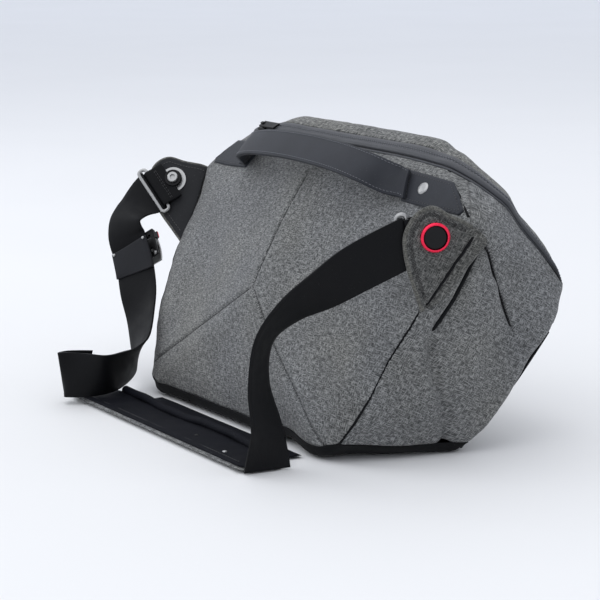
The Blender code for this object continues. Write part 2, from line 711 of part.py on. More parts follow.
def build_adjuster():
    across = Vector(ADJUSTER_ACROSS).normalized()
    down = Vector(ADJUSTER_DOWN)
    down = (down - across * down.dot(across)).normalized()
    behind = across.cross(down)
    place = frame_matrix(floor(*ADJUSTER_AT), across, -down, behind * -1)
    if behind.dot(OUT_BACK) > 0:
        place = frame_matrix(floor(*ADJUSTER_AT), across, down, -behind)

    def at(x, y, depth):
        return place @ Matrix.Translation((x, y, -depth))

    frame = box("adjuster_frame", FRAME_SIZE, at(0, 0, FRAME_LEVEL), "black_plastic",
                rounding=0.0008)
    for index, y in enumerate((-0.0065, 0.0065)):
        slot = box("adjuster_slot_%d" % index, (0.0395, 0.0042, 0.01), at(0, y, FRAME_LEVEL),
                   None, CUTTERS)
        boolean(frame, slot)
    pin_y = 0.0115
    pin_level = LEVER_LEVEL
    pin_ends = [at(x, pin_y, pin_level).translation for x in (-0.0205, 0.0205)]
    rod("adjuster_pin", pin_ends, 0.0011, "aluminium")
    lever = box("adjuster_lever", (0.040, 0.030, 0.0018), at(0, pin_y - 0.0135, pin_level),
                "aluminium", rounding=0.0006)
    barrel_at = at(-0.0200, pin_y, pin_level) @ Matrix.Rotation(math.radians(90), 4, "Y")
    boolean(lever, cylinder("lever_barrel", 0.0024, 0.040, barrel_at, None, CUTTERS), "UNION")
    longer = barrel_at @ Matrix.Translation((0, 0, -0.01))
    boolean(lever, cylinder("lever_bore", 0.0015, 0.06, longer, None, CUTTERS, sides=16))
    for side, name in ((1, "near"), (-1, "far")):
        cheek = box("adjuster_cheek_" + name, (0.0018, 0.0070, 0.0080),
                    at(side * 0.0217, pin_y - 0.0030, pin_level - 0.0018), None, CUTTERS)
        boolean(frame, cheek, "UNION")
        stud = [(0, 0.0010), (0.0014, 0.0008), (0.0018, 0), (0, 0)]
        turned("adjuster_rivet_" + name, stud,
               at(side * 0.0208, -pin_y + 0.0006, FRAME_LEVEL - FRAME_SIZE[2] / 2 - GAP),
               "aluminium", steps=16, closed=False)
    boolean(frame, cylinder("cheek_bore", 0.0015, 0.06, longer, None, CUTTERS, sides=16))


# Zip sliders, front pocket and carry straps ----------------------------------------------------

MAIN_SLIDER_X = -0.130


def facet_frame(origin, x_axis, up):
    """A placing on a flat facet: x across, y up, z outwards."""
    x_axis = x_axis.normalized()
    normal = x_axis.cross(up).normalized()
    return frame_matrix(origin, x_axis, normal.cross(x_axis), normal)


def build_slider(name, place, pull_length):
    """A zip slider with its pull laid back along the zip, towards local -x."""
    body = box(name + "_slider", (0.011, 0.0085, 0.0026),
               place @ Matrix.Translation((0, 0, 0.0013)), "black_plastic", rounding=0.0006)
    ear = box(name + "_ear", (0.0040, 0.0024, 0.0040),
              place @ Matrix.Translation((0, 0, 0.0042)), None, CUTTERS)
    boolean(body, ear, "UNION")
    bore_at = place @ Matrix.Translation((0, 0.02, 0.0045)) @ Matrix.Rotation(
        math.radians(90), 4, "X")
    boolean(body, cylinder(name + "_ear_bore", 0.0009, 0.04, bore_at, None, CUTTERS, sides=12))
    width = 0.0076
    tab = box(name + "_pull", (pull_length, width, 0.0014),
              place @ Matrix.Translation((-pull_length / 2 + 0.0016, 0, 0.0045)), "black_plastic",
              rounding=0.0004)
    window = box(name + "_pull_window", (0.0062, 0.0034, 0.01),
                 place @ Matrix.Translation((-0.0002, 0, 0.0045)), None, CUTTERS)
    boolean(tab, window)


def build_zip_sliders():
    low = bag(0, APEX_TOP[1], APEX_TOP[2])
    high = bag(0, RIDGE[1], RIDGE[2])
    share = (ZIP_LOW_V - APEX_TOP[2]) / (RIDGE[2] - APEX_TOP[2])
    on_zip = low.lerp(high, share)
    on_zip.x = MAIN_SLIDER_X
    place = facet_frame(on_zip, -ACROSS, low - high) @ Matrix.Translation((0, 0, 0.0012))
    build_slider("main_zip", place, 0.024)


POCKET_INSET = 0.008
POCKET_ZIP_DROP = 0.016


def front_facet():
    top = bag(0, *FRONT_TOP[1:])
    low = bag(0, *FRONT_LOW[1:])
    return facet_frame(top.lerp(low, 0.5), -ACROSS, top - low), (top - low).length


def build_front():
    place, height = front_facet()
    half_high = height / 2 - POCKET_INSET
    half_top = FRONT_TOP[0] - POCKET_INSET
    half_low = FRONT_LOW[0] - POCKET_INSET
    outline = [(-half_low, -half_high), (half_low, -half_high), (half_top, half_high),
               (-half_top, half_high)]
    lift = 0.0008
    thick = 0.0030
    outline_plate("front_pocket", outline, thick,
                  place @ Matrix.Translation((0, 0, lift + thick / 2)), "heather")
    zip_y = half_high - POCKET_ZIP_DROP
    zip_thick = 0.0012
    zip_z = lift + thick + GAP + zip_thick / 2
    box("pocket_zip_tape", (0.190, 0.012, zip_thick),
        place @ Matrix.Translation((0, zip_y, zip_z)), "zip_cover", rounding=0.0004)
    slider_at = place @ Matrix.Translation((-0.082, zip_y, zip_z + zip_thick / 2 + GAP))
    build_slider("pocket_zip", slider_at, 0.020)


CARRY_INSET = 0.014


def build_carry_straps():
    """Two stowed straps down each side of the front, the lower one with a hook."""
    nose = bag(*NOSE)
    foot = bag(*FRONT_FOOT)
    inner = bag(*FRONT_TOP)
    edge = nose - foot
    normal = edge.cross(nose - inner).normalized()
    if normal.dot(OUT_BACK) > 0:
        normal = -normal
    y_axis = edge.normalized()
    length = edge.length
    width = 0.022
    thick = 0.0028
    spans = {"upper": (0.27, 0.67), "lower": (0.69, 0.97)}
    for name, (start, end) in spans.items():
        size = (width, (end - start) * length, thick)
        middle = nose.lerp(foot, (start + end) / 2)
        place = frame_matrix(middle, y_axis.cross(normal), y_axis, normal)
        place = place @ Matrix.Translation((CARRY_INSET, 0, 0.0012 + thick / 2))
        strap = box("carry_strap_%s_right" % name, size, place, "webbing", rounding=0.001)
        mirrored(strap, "carry_strap_%s_left" % name)
        if name == "lower":
            hook_at = place @ Matrix.Translation((0, 0.004, thick / 2 + 0.0018))
            loop = [hook_at @ Vector((x, -y, 0))
                    for x, y in rounded_loop(0.0085, 0.011, 0.0028)]
            hook = rod("carry_hook_right", loop, 0.0012, "aluminium", cyclic=True)
            mirrored(hook, "carry_hook_left")


def main():
    build_body()
    build_dividers()
    build_handle()
    ring_starts = {name: build_wing(name) for name in WINGS}
    build_strap(ring_starts)
    build_adjuster()
    build_zip_sliders()
    build_front()
    build_carry_straps()


clear_scene()
PARTS = collection("camera_sling")
CUTTERS = collection("cutters")
main()
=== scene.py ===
"""The camera sling's look: sewn cloth body, lid, wings, handle, strap and hardware."""
import json
import math
from contextlib import contextmanager

import bmesh
import bpy
import numpy as np
from mathutils import Matrix, Vector, noise
from mathutils.bvhtree import BVHTree

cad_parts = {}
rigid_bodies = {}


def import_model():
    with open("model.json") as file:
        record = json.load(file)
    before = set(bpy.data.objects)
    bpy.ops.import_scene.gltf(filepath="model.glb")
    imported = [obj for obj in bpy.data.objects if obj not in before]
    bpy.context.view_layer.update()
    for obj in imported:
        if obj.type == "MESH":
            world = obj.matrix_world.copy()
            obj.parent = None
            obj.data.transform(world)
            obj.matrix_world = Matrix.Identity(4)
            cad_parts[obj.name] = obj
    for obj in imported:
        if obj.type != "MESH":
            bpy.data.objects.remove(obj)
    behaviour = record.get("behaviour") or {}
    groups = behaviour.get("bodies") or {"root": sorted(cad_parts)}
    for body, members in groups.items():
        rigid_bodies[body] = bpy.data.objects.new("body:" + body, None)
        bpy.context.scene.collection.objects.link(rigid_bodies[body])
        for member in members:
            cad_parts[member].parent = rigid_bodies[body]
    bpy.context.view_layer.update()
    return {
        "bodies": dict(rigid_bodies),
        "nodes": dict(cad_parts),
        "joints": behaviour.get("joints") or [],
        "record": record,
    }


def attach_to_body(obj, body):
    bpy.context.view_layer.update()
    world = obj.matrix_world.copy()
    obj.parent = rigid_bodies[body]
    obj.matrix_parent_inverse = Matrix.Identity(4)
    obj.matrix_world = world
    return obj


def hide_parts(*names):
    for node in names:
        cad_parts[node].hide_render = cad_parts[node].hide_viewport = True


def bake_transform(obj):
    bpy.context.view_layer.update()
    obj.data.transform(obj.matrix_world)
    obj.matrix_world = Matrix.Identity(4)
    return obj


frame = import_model()
NODES = frame["nodes"]

# The CAD's driving dimensions, in metres. Bag coordinates are x across, d depth, v up the back.
LEAN = math.radians(26.0)
BASE_MID_Y = 0.054
WIDEST = (0.200, 0, 0.206)
TOP = (0.149, 0, 0.243)
SIDE_LOW = (0.161, 0.0, 0.030)
SIDE_LOWER = (0.154, 0.0, 0.010)
FOOT_IN = (0.136, 0.0, 0.0)
FRONT_FOOT = (0.160, 0.108 * math.cos(LEAN), 0.108 * math.sin(LEAN))
NOSE = (0.174, 0.124, 0.1975)
SHOULDER = (0.186, 0.034, 0.2305)
RIDGE = (0.135, 0.016, 0.268)
RIDGE_SIDE = (0.168, 0.050, 0.248)
APEX = (0.0, -0.031, 0.111)
APEX_TOP = (0.0, -0.021, 0.217)
FRONT_TOP = (0.125, 0.132, 0.175)
FRONT_LOW = (0.115, 0.114, 0.075)
CORE = (0.0, 0.055, 0.125)
SKIN_SCALE = (1.030, 1.035, 1.040)
LINER_SCALE = (0.93, 0.86, 0.88)
FOOT_CLOTH_TOP = 0.0105
SKIN_FLOOR = 0.0008
PANEL_FLOOR = 0.0006
RIM_V = 0.243
ZIP_HIGH_V = 0.2580
WEBBING_WIDTH = 0.038
WEBBING = 0.0016
ACROSS = Vector((1, 0, 0))
UP = Vector((0, 0, 1))
SIDES = ((1, "right"), (-1, "left"))


def floor(x, y, z):
    """World coordinates of a point given from the back foot's line."""
    return Vector((x, y - BASE_MID_Y, z))


def bag(x, d, v):
    """World coordinates of a point given in bag coordinates."""
    return floor(x, d * math.cos(LEAN) + v * math.sin(LEAN),
                 v * math.cos(LEAN) - d * math.sin(LEAN))


def direction(x, d, v):
    return (bag(x, d, v) - bag(0, 0, 0)).normalized()


def on_side(corners, side):
    """Corners given for the right side, on the right (1) or the left (-1)."""
    return [(x * side, d, v) for x, d, v in corners]


CORE_AT = bag(*CORE)
OUT_BACK = direction(0, -1, 0)


# Materials

class Shade:
    """A small helper that builds one procedural material."""

    def __init__(self, name, rough=0.8, metal=0.0, sheen=0.0, specular=0.5):
        self.material = bpy.data.materials.new(name)
        self.material.use_nodes = True
        self.tree = self.material.node_tree
        self.shader = self.tree.nodes["Principled BSDF"]
        for key, value in {"Roughness": rough, "Metallic": metal, "Sheen Weight": sheen,
                           "Specular IOR Level": specular}.items():
            self.shader.inputs[key].default_value = value

    def link(self, source, target):
        self.tree.links.new(source, target)

    def node(self, kind, inputs, **settings):
        """A node, with values or other nodes' outputs on its inputs."""
        made = self.tree.nodes.new("ShaderNode" + kind)
        for key, value in settings.items():
            setattr(made, key, value)
        for key, value in inputs.items():
            if isinstance(value, bpy.types.NodeSocket):
                self.link(value, made.inputs[key])
            else:
                made.inputs[key].default_value = value
        return made

    def math(self, operation, first, second=0.5):
        return self.node("Math", {0: first, 1: second}, operation=operation).outputs[0]

    def where(self, attribute=None, scale=(1, 1, 1)):
        """Object coordinates, or a mesh's own cloth coordinates, stretched by scale."""
        if attribute:
            source = self.node("Attribute", {}, attribute_name=attribute).outputs["Vector"]
        else:
            source = self.node("TexCoord", {}).outputs["Object"]
        return self.node("Mapping", {"Vector": source, "Scale": scale}).outputs[0]

    def noise(self, vector, scale=1.0, detail=2.0):
        inputs = {"Vector": vector, "Scale": scale, "Detail": detail}
        return self.node("TexNoise", inputs).outputs["Fac"]

    def ramp(self, factor, *stops):
        """Greys or colours at positions along the factor."""
        made = self.node("ValToRGB", {0: factor})
        ramp = made.color_ramp
        while len(ramp.elements) < len(stops):
            ramp.elements.new(0.5)
        for element, (position, value) in zip(ramp.elements, stops):
            element.position = position
            colour = value if isinstance(value, tuple) else (value, value, value)
            element.color = (*colour, 1)
        return made.outputs[0]

    def mix(self, factor, first, second, blend="MIX"):
        first, second = ((*c, 1) if isinstance(c, tuple) else c for c in (first, second))
        return self.node("Mix", {0: factor, 6: first, 7: second}, data_type="RGBA",
                         blend_type=blend).outputs[2]

    def colour(self, output):
        self.link(output, self.shader.inputs["Base Color"])

    def varied(self, factor, colour, low, high):
        """The colour, between low and high times as bright."""
        return self.ramp(factor, (0.3, tuple(c * low for c in colour)),
                         (0.7, tuple(min(1, c * high) for c in colour)))

    def gloss(self, factor, rough, less, more):
        """Uneven roughness, by less below rough and more above it."""
        uneven = self.ramp(factor, (0.3, rough - less), (0.7, rough + more))
        self.link(uneven, self.shader.inputs["Roughness"])

    def dusty(self, vector, tone, scale, start, share):
        """The tone as base colour, under specks of pale lint."""
        lint = self.ramp(self.noise(vector, scale, 1.0), (start, 0.0), (start + 0.10, 1.0))
        self.colour(self.mix(self.math("MULTIPLY", lint, share), tone, (0.5, 0.5, 0.5)))

    def bump(self, height, distance, strength=1.0):
        """A bump over those that the shader already has."""
        normal = self.shader.inputs["Normal"]
        inputs = {"Distance": distance, "Strength": strength, "Height": height}
        if normal.links:
            inputs["Normal"] = normal.links[0].from_socket
        self.link(self.node("Bump", inputs).outputs[0], normal)

    def ribs(self, vector, axis, pitch):
        """A sine across one axis of a vector, from 0 to 1."""
        split = self.node("SeparateXYZ", {0: vector})
        wave = self.math("SINE", self.math("MULTIPLY", split.outputs[axis],
                                           2 * math.pi / pitch))
        return self.math("ADD", self.math("MULTIPLY", wave, 0.5), 0.5)

    def weave(self, vector, pitch):
        """Threads both ways."""
        return self.math("MULTIPLY", self.ribs(vector, 0, pitch), self.ribs(vector, 1, pitch))


def heather_cloth(name, dark, light, warm=(1, 1, 1)):
    """Woven melange: dark yarns both ways, with light flecks drawn out along each yarn."""
    shade = Shade(name, rough=0.92, sheen=0.12, specular=0.25)
    plain = shade.where("cloth")
    upright = shade.noise(shade.where("cloth", (1350, 250, 400)))
    level = shade.noise(shade.where("cloth", (200, 1350, 400)))
    slub_up = shade.ramp(upright, (0.47, 0.0), (0.70, 1.0))
    slub_level = shade.ramp(level, (0.46, 0.0), (0.70, 1.0))
    flecks = shade.math("MAXIMUM", slub_up, shade.math("MULTIPLY", slub_level, 0.95))
    patch = shade.noise(plain, 26.0, 3.0)
    tone = shade.mix(flecks, dark, light)
    cloudy = shade.ramp(patch, (0.25, 0.84), (0.75, 1.14))
    toned = shade.mix(1.0, tone, cloudy, "MULTIPLY")
    worn = shade.mix(shade.ramp(shade.noise(plain, 9.0, 2.0), (0.4, 0.0), (0.7, 1.0)), toned,
                     shade.mix(1.0, toned, warm, "MULTIPLY"))
    shade.colour(worn)
    shade.bump(shade.weave(plain, 0.0011), 0.00014, 0.5)
    shade.bump(flecks, 0.00012, 0.6)
    return shade.material


def plain_cloth(name, colour, pitch=0.0008, rough=0.85, sheen=0.1, depth=0.00012,
                specular=0.3, variation=0.16):
    """A fine even weave with slight colour variation and a dusty nap."""
    shade = Shade(name, rough=rough, sheen=sheen, specular=specular)
    plain = shade.where("cloth")
    tone = shade.varied(shade.noise(plain, 40.0, 4.0), colour, 1 - variation, 1 + variation)
    shade.dusty(plain, tone, 900.0, 0.70, 0.10)
    shade.bump(shade.weave(plain, pitch), depth, 0.6)
    return shade.material


def webbing_cloth(name, colour, rough=0.5, sheen=0.12):
    """Dense strap weave: fine ribs along it, a slight step across, and softened edges."""
    shade = Shade(name, rough=rough, sheen=sheen, specular=0.13)
    plain = shade.where("cloth")
    weave = shade.math("ADD", shade.math("MULTIPLY", shade.ribs(plain, 0, 0.0013), 0.7),
                       shade.math("MULTIPLY", shade.ribs(plain, 1, 0.0009), 0.3))
    shade.bump(weave, 0.00010, 0.6)
    patch = shade.noise(plain, 60.0, 3.0)
    shade.dusty(plain, shade.varied(patch, colour, 0.82, 1.2), 1100.0, 0.72, 0.07)
    shade.gloss(patch, rough, 0.07, 0.09)
    return shade.material


def metal(name, colour, rough=0.3, stretch=(60, 900, 900)):
    """Brushed or blasted metal with faint scratches and uneven gloss."""
    shade = Shade(name, rough=rough, metal=1.0)
    grain = shade.noise(shade.where(None, stretch), 1.0, 4.0)
    shade.colour(shade.varied(grain, colour, 0.88, 1.08))
    shade.gloss(grain, rough, 0.08, 0.12)
    shade.bump(grain, 0.00002, 0.5)
    return shade.material


def plastic(name, colour, rough=0.4):
    """Moulded plastic with a fine spark-eroded grain."""
    shade = Shade(name, rough=rough, specular=0.2)
    grain = shade.noise(shade.where(), 2600.0, 2.0)
    patch = shade.noise(shade.where(), 120.0, 3.0)
    shade.colour(shade.varied(patch, colour, 0.8, 1.3))
    shade.gloss(patch, rough, 0.06, 0.10)
    shade.bump(grain, 0.00004, 0.4)
    return shade.material


def thread(name, colour):
    """Twisted sewing thread."""
    shade = Shade(name, rough=0.7, sheen=0.2)
    grain = shade.noise(shade.where(), 1500.0, 2.0)
    shade.colour(shade.varied(grain, colour, 0.7, 1.3))
    shade.bump(grain, 0.00005)
    return shade.material


WARM = (1.05, 1.03, 0.96)
LOOKS = {
    "heather": heather_cloth("heather_weave", (0.051, 0.053, 0.054), (0.290, 0.295, 0.297), WARM),
    "lid_heather": heather_cloth("heather_lid", (0.040, 0.042, 0.041), (0.290, 0.290, 0.278),
                                 WARM),
    "binding": heather_cloth("heather_binding", (0.050, 0.050, 0.046), (0.170, 0.168, 0.150)),
    # The wing's heather: darker than the body's heather as painted shade where the wing faces
    # away from the light
    "wing_heather": heather_cloth("heather_wing_shaded", (0.026, 0.027, 0.026), (0.170, 0.170, 0.163),
                                  WARM),
    "lining_black": plain_cloth("wing_inner_cloth", (0.013, 0.0135, 0.0155), rough=0.7,
                                sheen=0.03),
    # Black cloth of the base and facings, darkened past its own colour as painted shade under the
    # bag; also the tubes painted as shade in the folds
    "black_cloth": plain_cloth("black_cloth_and_shade", (0.0045, 0.0048, 0.0056), sheen=0.02,
                               specular=0.15),
    "lining": plain_cloth("strap_pad_cloth", (0.0042, 0.0048, 0.0078), 0.0010, rough=0.7,
                          sheen=0.005, specular=0.08),
    "liner_grey": plain_cloth("padded_lining", (0.21, 0.21, 0.215), 0.0007, sheen=0.4),
    "slate": plain_cloth("coated_slate", (0.0175, 0.0196, 0.0255), 0.0009, rough=0.62,
                         sheen=0.03, specular=0.30),
    "zip_cover": plain_cloth("zip_cover", (0.026, 0.028, 0.034), 0.0007, rough=0.50,
                             sheen=0.02, specular=0.5, depth=0.00005),
    "webbing": webbing_cloth("strap_webbing", (0.0026, 0.0028, 0.0036), rough=0.55, sheen=0.015),
    "sleeve": webbing_cloth("adjuster_sleeve", (0.0120, 0.0125, 0.0150), rough=0.6, sheen=0.04),
    "aluminium": metal("satin_aluminium", (0.40, 0.40, 0.395), 0.38),
    "red": metal("anodised_red", (0.90, 0.035, 0.085), 0.28, (700, 700, 700)),
    "black_plastic": plastic("black_moulding", (0.0045, 0.0045, 0.0052)),
    "dark_thread": thread("dark_thread", (0.012, 0.012, 0.013)),
    "grey_thread": thread("grey_thread", (0.060, 0.060, 0.058)),
    "slate_thread": thread("slate_thread", (0.11, 0.115, 0.13)),
}


# Mesh helpers

@contextmanager
def editing(obj):
    """The object's mesh opened for edits, and written back."""
    bm = bmesh.new()
    bm.from_mesh(obj.data)
    yield bm
    bm.to_mesh(obj.data)
    bm.free()


def smooth_shaded(mesh):
    mesh.polygons.foreach_set("use_smooth", [True] * len(mesh.polygons))


def linked(name, data):
    """A new object in the scene."""
    obj = bpy.data.objects.new(name, data)
    bpy.context.scene.collection.objects.link(obj)
    return obj


def make(name, points, faces, look, cloth=None):
    mesh = bpy.data.meshes.new(name)
    mesh.from_pydata([tuple(p) for p in points], [], faces)
    mesh.validate()
    obj = linked(name, mesh)
    smooth_shaded(mesh)
    if cloth is not None:
        set_cloth(obj, cloth)
    mesh.materials.append(LOOKS[look])
    return obj


def attach(obj, body, slot, *nodes, fill=None):
    """Puts a piece on its body and hides the nodes that it replaces; the slot is not used."""
    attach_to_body(obj, body)
    if nodes:
        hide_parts(*nodes)
    return obj


def set_cloth(obj, values):
    """Store each point's place on the flat cloth, which the weave follows."""
    attribute = obj.data.attributes.get("cloth")
    if attribute is None:
        attribute = obj.data.attributes.new("cloth", "FLOAT_VECTOR", "POINT")
    attribute.data.foreach_set("vector", np.asarray(values, np.float32).ravel())


def coordinates(obj):
    co = np.empty(len(obj.data.vertices) * 3)
    obj.data.vertices.foreach_get("co", co)
    return co.reshape(-1, 3)


def set_coordinates(obj, co):
    obj.data.vertices.foreach_set("co", np.asarray(co, np.float32).ravel())
    obj.data.update()


def applied(obj):
    """Replace the object's mesh by what its modifiers make."""
    graph = bpy.context.evaluated_depsgraph_get()
    mesh = bpy.data.meshes.new_from_object(obj.evaluated_get(graph))
    obj.modifiers.clear()
    old = obj.data
    obj.data = mesh
    bpy.data.meshes.remove(old)
    return obj


def solidify(obj, thickness, offset=-1):
    modifier = obj.modifiers.new("thickness", "SOLIDIFY")
    modifier.thickness = thickness
    modifier.offset = offset
    return applied(obj)


def grid_faces(rows, columns, closed=False):
    faces = []
    last = columns if closed else columns - 1
    for row in range(rows - 1):
        for column in range(last):
            following = (column + 1) % columns
            faces.append((row * columns + column, row * columns + following,
                          (row + 1) * columns + following, (row + 1) * columns + column))
    return faces


def smooth_path(points, steps):
    """A curve through all the points, each a list of vectors taken together."""
    path = []
    last = len(points) - 1
    for index in range(last):
        before = points[max(index - 1, 0)]
        start, end = points[index], points[index + 1]
        after = points[min(index + 2, last)]
        for step in range(steps):
            t = step / steps
            path.append([
                0.5 * (2 * b + (c - a) * t + (2 * a - 5 * b + 4 * c - d) * t * t
                       + (3 * b - a - 3 * c + d) * t ** 3)
                for a, b, c, d in zip(before, start, end, after)])
    path.append(list(points[last]))
    return path


def heading(points, index):
    """From the point before to the point after."""
    return points[min(index + 1, len(points) - 1)] - points[max(index - 1, 0)]


def turned(first, second, angle):
    """The direction at an angle from the first towards the second."""
    return first * math.cos(angle) + second * math.sin(angle)


def tube(name, points, radius, look, slot, *nodes, sides=10, flat=1.0, normals=None, fill=None):
    """A sewn tube or piping along points. flat squashes it along the normals."""
    vertices, cloth = [], []
    travelled = 0.0
    up = Vector((0.1, 0.2, 1))
    for index, point in enumerate(points):
        tangent = heading(points, index).normalized()
        side = tangent.cross(normals[index] if normals else up).normalized()
        up = side.cross(tangent).normalized()
        ring = [point + (side * math.cos(a) + up * math.sin(a) * flat) * radius
                for a in (2 * math.pi * k / sides for k in range(sides))]
        if index:
            travelled += (ring[0] - vertices[-sides]).length
        vertices += ring
        cloth += [(k / sides * 2 * math.pi * radius, travelled, 0) for k in range(sides)]
    count = len(vertices)
    faces = grid_faces(len(points), sides, closed=True)
    faces += [tuple(range(sides - 1, -1, -1)), tuple(range(count - sides, count))]
    attach(make(name, vertices, faces, look, cloth=cloth), "root", slot, *nodes, fill=fill)


STITCH_LIFT = 0.0001
STITCH_RINGS = ((-0.5, 0.35), (-0.3, 1.0), (0.3, 1.0), (0.5, 0.35))
STITCH_FACES = grid_faces(4, 6, closed=True) + [tuple(range(5, -1, -1)), tuple(range(18, 24))]


def stitches(name, rows, look, body, slot, pitch=0.0030, length=0.0021, radius=0.00030):
    """Thread stitches lying on a surface, along rows of (points, normals)."""
    vertices, faces = [], []
    for points, normals in rows:
        distance, target = 0.0, pitch / 2
        for start, end, normal in zip(points, points[1:], normals):
            span = (end - start).length
            if span < 1e-9:
                continue
            along = (end - start) / span
            side = along.cross(normal).normalized()
            up = side.cross(along).normalized()
            while target <= distance + span:
                centre = start + along * (target - distance) + up * STITCH_LIFT
                base = len(vertices)
                for share, size in STITCH_RINGS:
                    sink = -radius * 1.2 if size < 1 else 0
                    middle = centre + along * (length * share) + up * sink
                    vertices += [middle + turned(side, up, math.pi * k / 3) * radius * size
                                 for k in range(6)]
                faces += [tuple(base + i for i in face) for face in STITCH_FACES]
                target += pitch
            distance += span
    attach(make(name, vertices, faces, look), body, slot)


# The padded body

BODY_CORNERS = [SIDE_LOW, SIDE_LOWER, FOOT_IN, WIDEST, TOP, FRONT_FOOT, NOSE, SHOULDER, RIDGE,
                RIDGE_SIDE, APEX, APEX_TOP, FRONT_TOP, FRONT_LOW]


def hull_bmesh(scale=(1, 1, 1)):
    """The body's flat facets: the hull of its corners, scaled about the core."""
    bm = bmesh.new()
    for corner in BODY_CORNERS:
        x, d, v = (c + (p - c) * s for p, c, s in zip(corner, CORE, scale))
        bm.verts.new(bag(x, d, v))
        bm.verts.new(bag(-x, d, v))
    bmesh.ops.remove_doubles(bm, verts=bm.verts, dist=1e-6)
    bmesh.ops.convex_hull(bm, input=bm.verts)
    bmesh.ops.dissolve_limit(bm, angle_limit=0.01, verts=bm.verts, edges=bm.edges)
    bmesh.ops.recalc_face_normals(bm, faces=bm.faces)
    return bm


def object_from(bm, name, look=None):
    """An object of the mesh being made, which is freed."""
    mesh = bpy.data.meshes.new(name)
    bm.to_mesh(mesh)
    bm.free()
    if look:
        mesh.materials.append(LOOKS[look])
    return linked(name, mesh)


def relax(co, edges, rounds, share=0.5):
    """Plain smoothing of points over their edges."""
    count = np.zeros(len(co))
    np.add.at(count, edges[:, 0], 1)
    np.add.at(count, edges[:, 1], 1)
    for _ in range(rounds):
        total = np.zeros_like(co)
        np.add.at(total, edges[:, 0], co[edges[:, 1]])
        np.add.at(total, edges[:, 1], co[edges[:, 0]])
        co = co + (total / count[:, None] - co) * share
    return co


def edge_array(obj):
    edges = np.empty(len(obj.data.edges) * 2, int)
    obj.data.edges.foreach_get("vertices", edges)
    return edges.reshape(-1, 2)


def remeshed(obj, voxel):
    """The object's surface made of even small squares."""
    modifier = obj.modifiers.new("voxels", "REMESH")
    modifier.mode = "VOXEL"
    modifier.voxel_size = voxel
    return applied(obj)


CLOTH = {"quality": 5, "mass": 0.3, "tension_stiffness": 25, "compression_stiffness": 25,
         "shear_stiffness": 8, "bending_stiffness": 1.0, "use_pressure": True,
         "uniform_pressure_force": 4.0}
FRAMES = 20


def inflate(obj, cap):
    """Cloth under pressure: the padding pushes each panel out, by at most cap."""
    rest = coordinates(obj)
    cloth = obj.modifiers.new("cloth", "CLOTH")
    for key, value in CLOTH.items():
        setattr(cloth.settings, key, value)
    cloth.settings.effector_weights.gravity = 0
    cloth.collision_settings.use_collision = False
    scene = bpy.context.scene
    for number in range(1, FRAMES + 1):
        scene.frame_set(number)
    graph = bpy.context.evaluated_depsgraph_get()
    swollen = obj.evaluated_get(graph).to_mesh()
    co = np.empty(len(rest) * 3)
    swollen.vertices.foreach_get("co", co)
    obj.evaluated_get(graph).to_mesh_clear()
    obj.modifiers.clear()
    scene.frame_set(1)
    move = co.reshape(-1, 3) - rest
    size = np.linalg.norm(move, axis=1, keepdims=True)
    limit = cap * np.tanh(size / cap) / np.maximum(size, 1e-9)
    set_coordinates(obj, rest + move * limit)
    return obj


def facet_kind(face):
    """Which sewn panel a flat facet of the body belongs to, from its outward direction."""
    normal = face.normal
    if normal.z < -0.98:
        return "base"
    if normal.dot(OUT_BACK) > 0.55:
        return "back"
    if abs(normal.x) > 0.60:
        return "side"
    if normal.dot(OUT_BACK) < 0 and normal.z < 0.35:
        return "front"
    return "top"


def polyline_distance(co, line):
    """Distance from each point to a polyline, and how far along it the nearest place is."""
    best = np.full(len(co), 1e9)
    along = np.zeros(len(co))
    total = 0.0
    for start, end in zip(line, line[1:]):
        a, b = np.array(start), np.array(end)
        ab = b - a
        span = float(ab @ ab)
        t = np.clip(((co - a) @ ab) / span, 0, 1)
        distance = np.linalg.norm(co - (a + t[:, None] * ab), axis=1)
        nearer = distance < best
        best[nearer] = distance[nearer]
        length = math.sqrt(span)
        along[nearer] = total + t[nearer] * length
        total += length
    return best, along / total


# How the soft body sits: lines in bag coordinates, how far they sink (or swell, below zero),
# over what distance that fades, and whether the other side does the same
SETTLED = [
    ([(0.136, 0.017, 0.267), (0.156, 0.034, 0.256), (0.174, 0.060, 0.241)], 0.0080, 0.024, True),
    ([(-0.100, 0.016, 0.267), (0.100, 0.016, 0.267)], -0.0040, 0.020, False),
    ([(0.171, 0.119, 0.158), (0.166, 0.108, 0.112), (0.162, 0.101, 0.084)], -0.0115, 0.032, True),
    ([(0.175, 0.125, 0.199), (0.150, 0.128, 0.190)], 0.0030, 0.016, True),
    ([(-0.182, 0.0, 0.125), (-0.172, 0.0, 0.080)], -0.0115, 0.036, False),
    ([(0.156, 0.0, 0.014), (0.165, 0.0, 0.050), (0.171, 0.001, 0.078)], 0.0090, 0.030, False),
    ([(0.150, 0.0, 0.004), (0.090, 0.0, 0.0)], 0.0085, 0.032, False),
    ([(0.146, 0.0, 0.062), (0.130, 0.0, 0.030), (0.112, 0.0, 0.014)], -0.0085, 0.026, False),
    ([(-0.150, 0.0, 0.004), (0.085, 0.0, 0.0)], 0.0035, 0.022, False),
    ([(0.160, 0.095, 0.040), (0.150, 0.030, 0.012)], 0.0045, 0.026, False),
]


def settled(co):
    """Points moved in or out round the lines where the stuffed cloth sits in or swells."""
    for right, depth, reach, both in SETTLED:
        for side in (1, -1) if both else (1,):
            line = [bag(*corner) for corner in on_side(right, side)]
            distance, _ = polyline_distance(co, line)
            out = co - np.array(CORE_AT)
            out /= np.linalg.norm(out, axis=1, keepdims=True)
            co = co - out * (depth * np.exp(-(distance / reach) ** 2))[:, None]
    return co


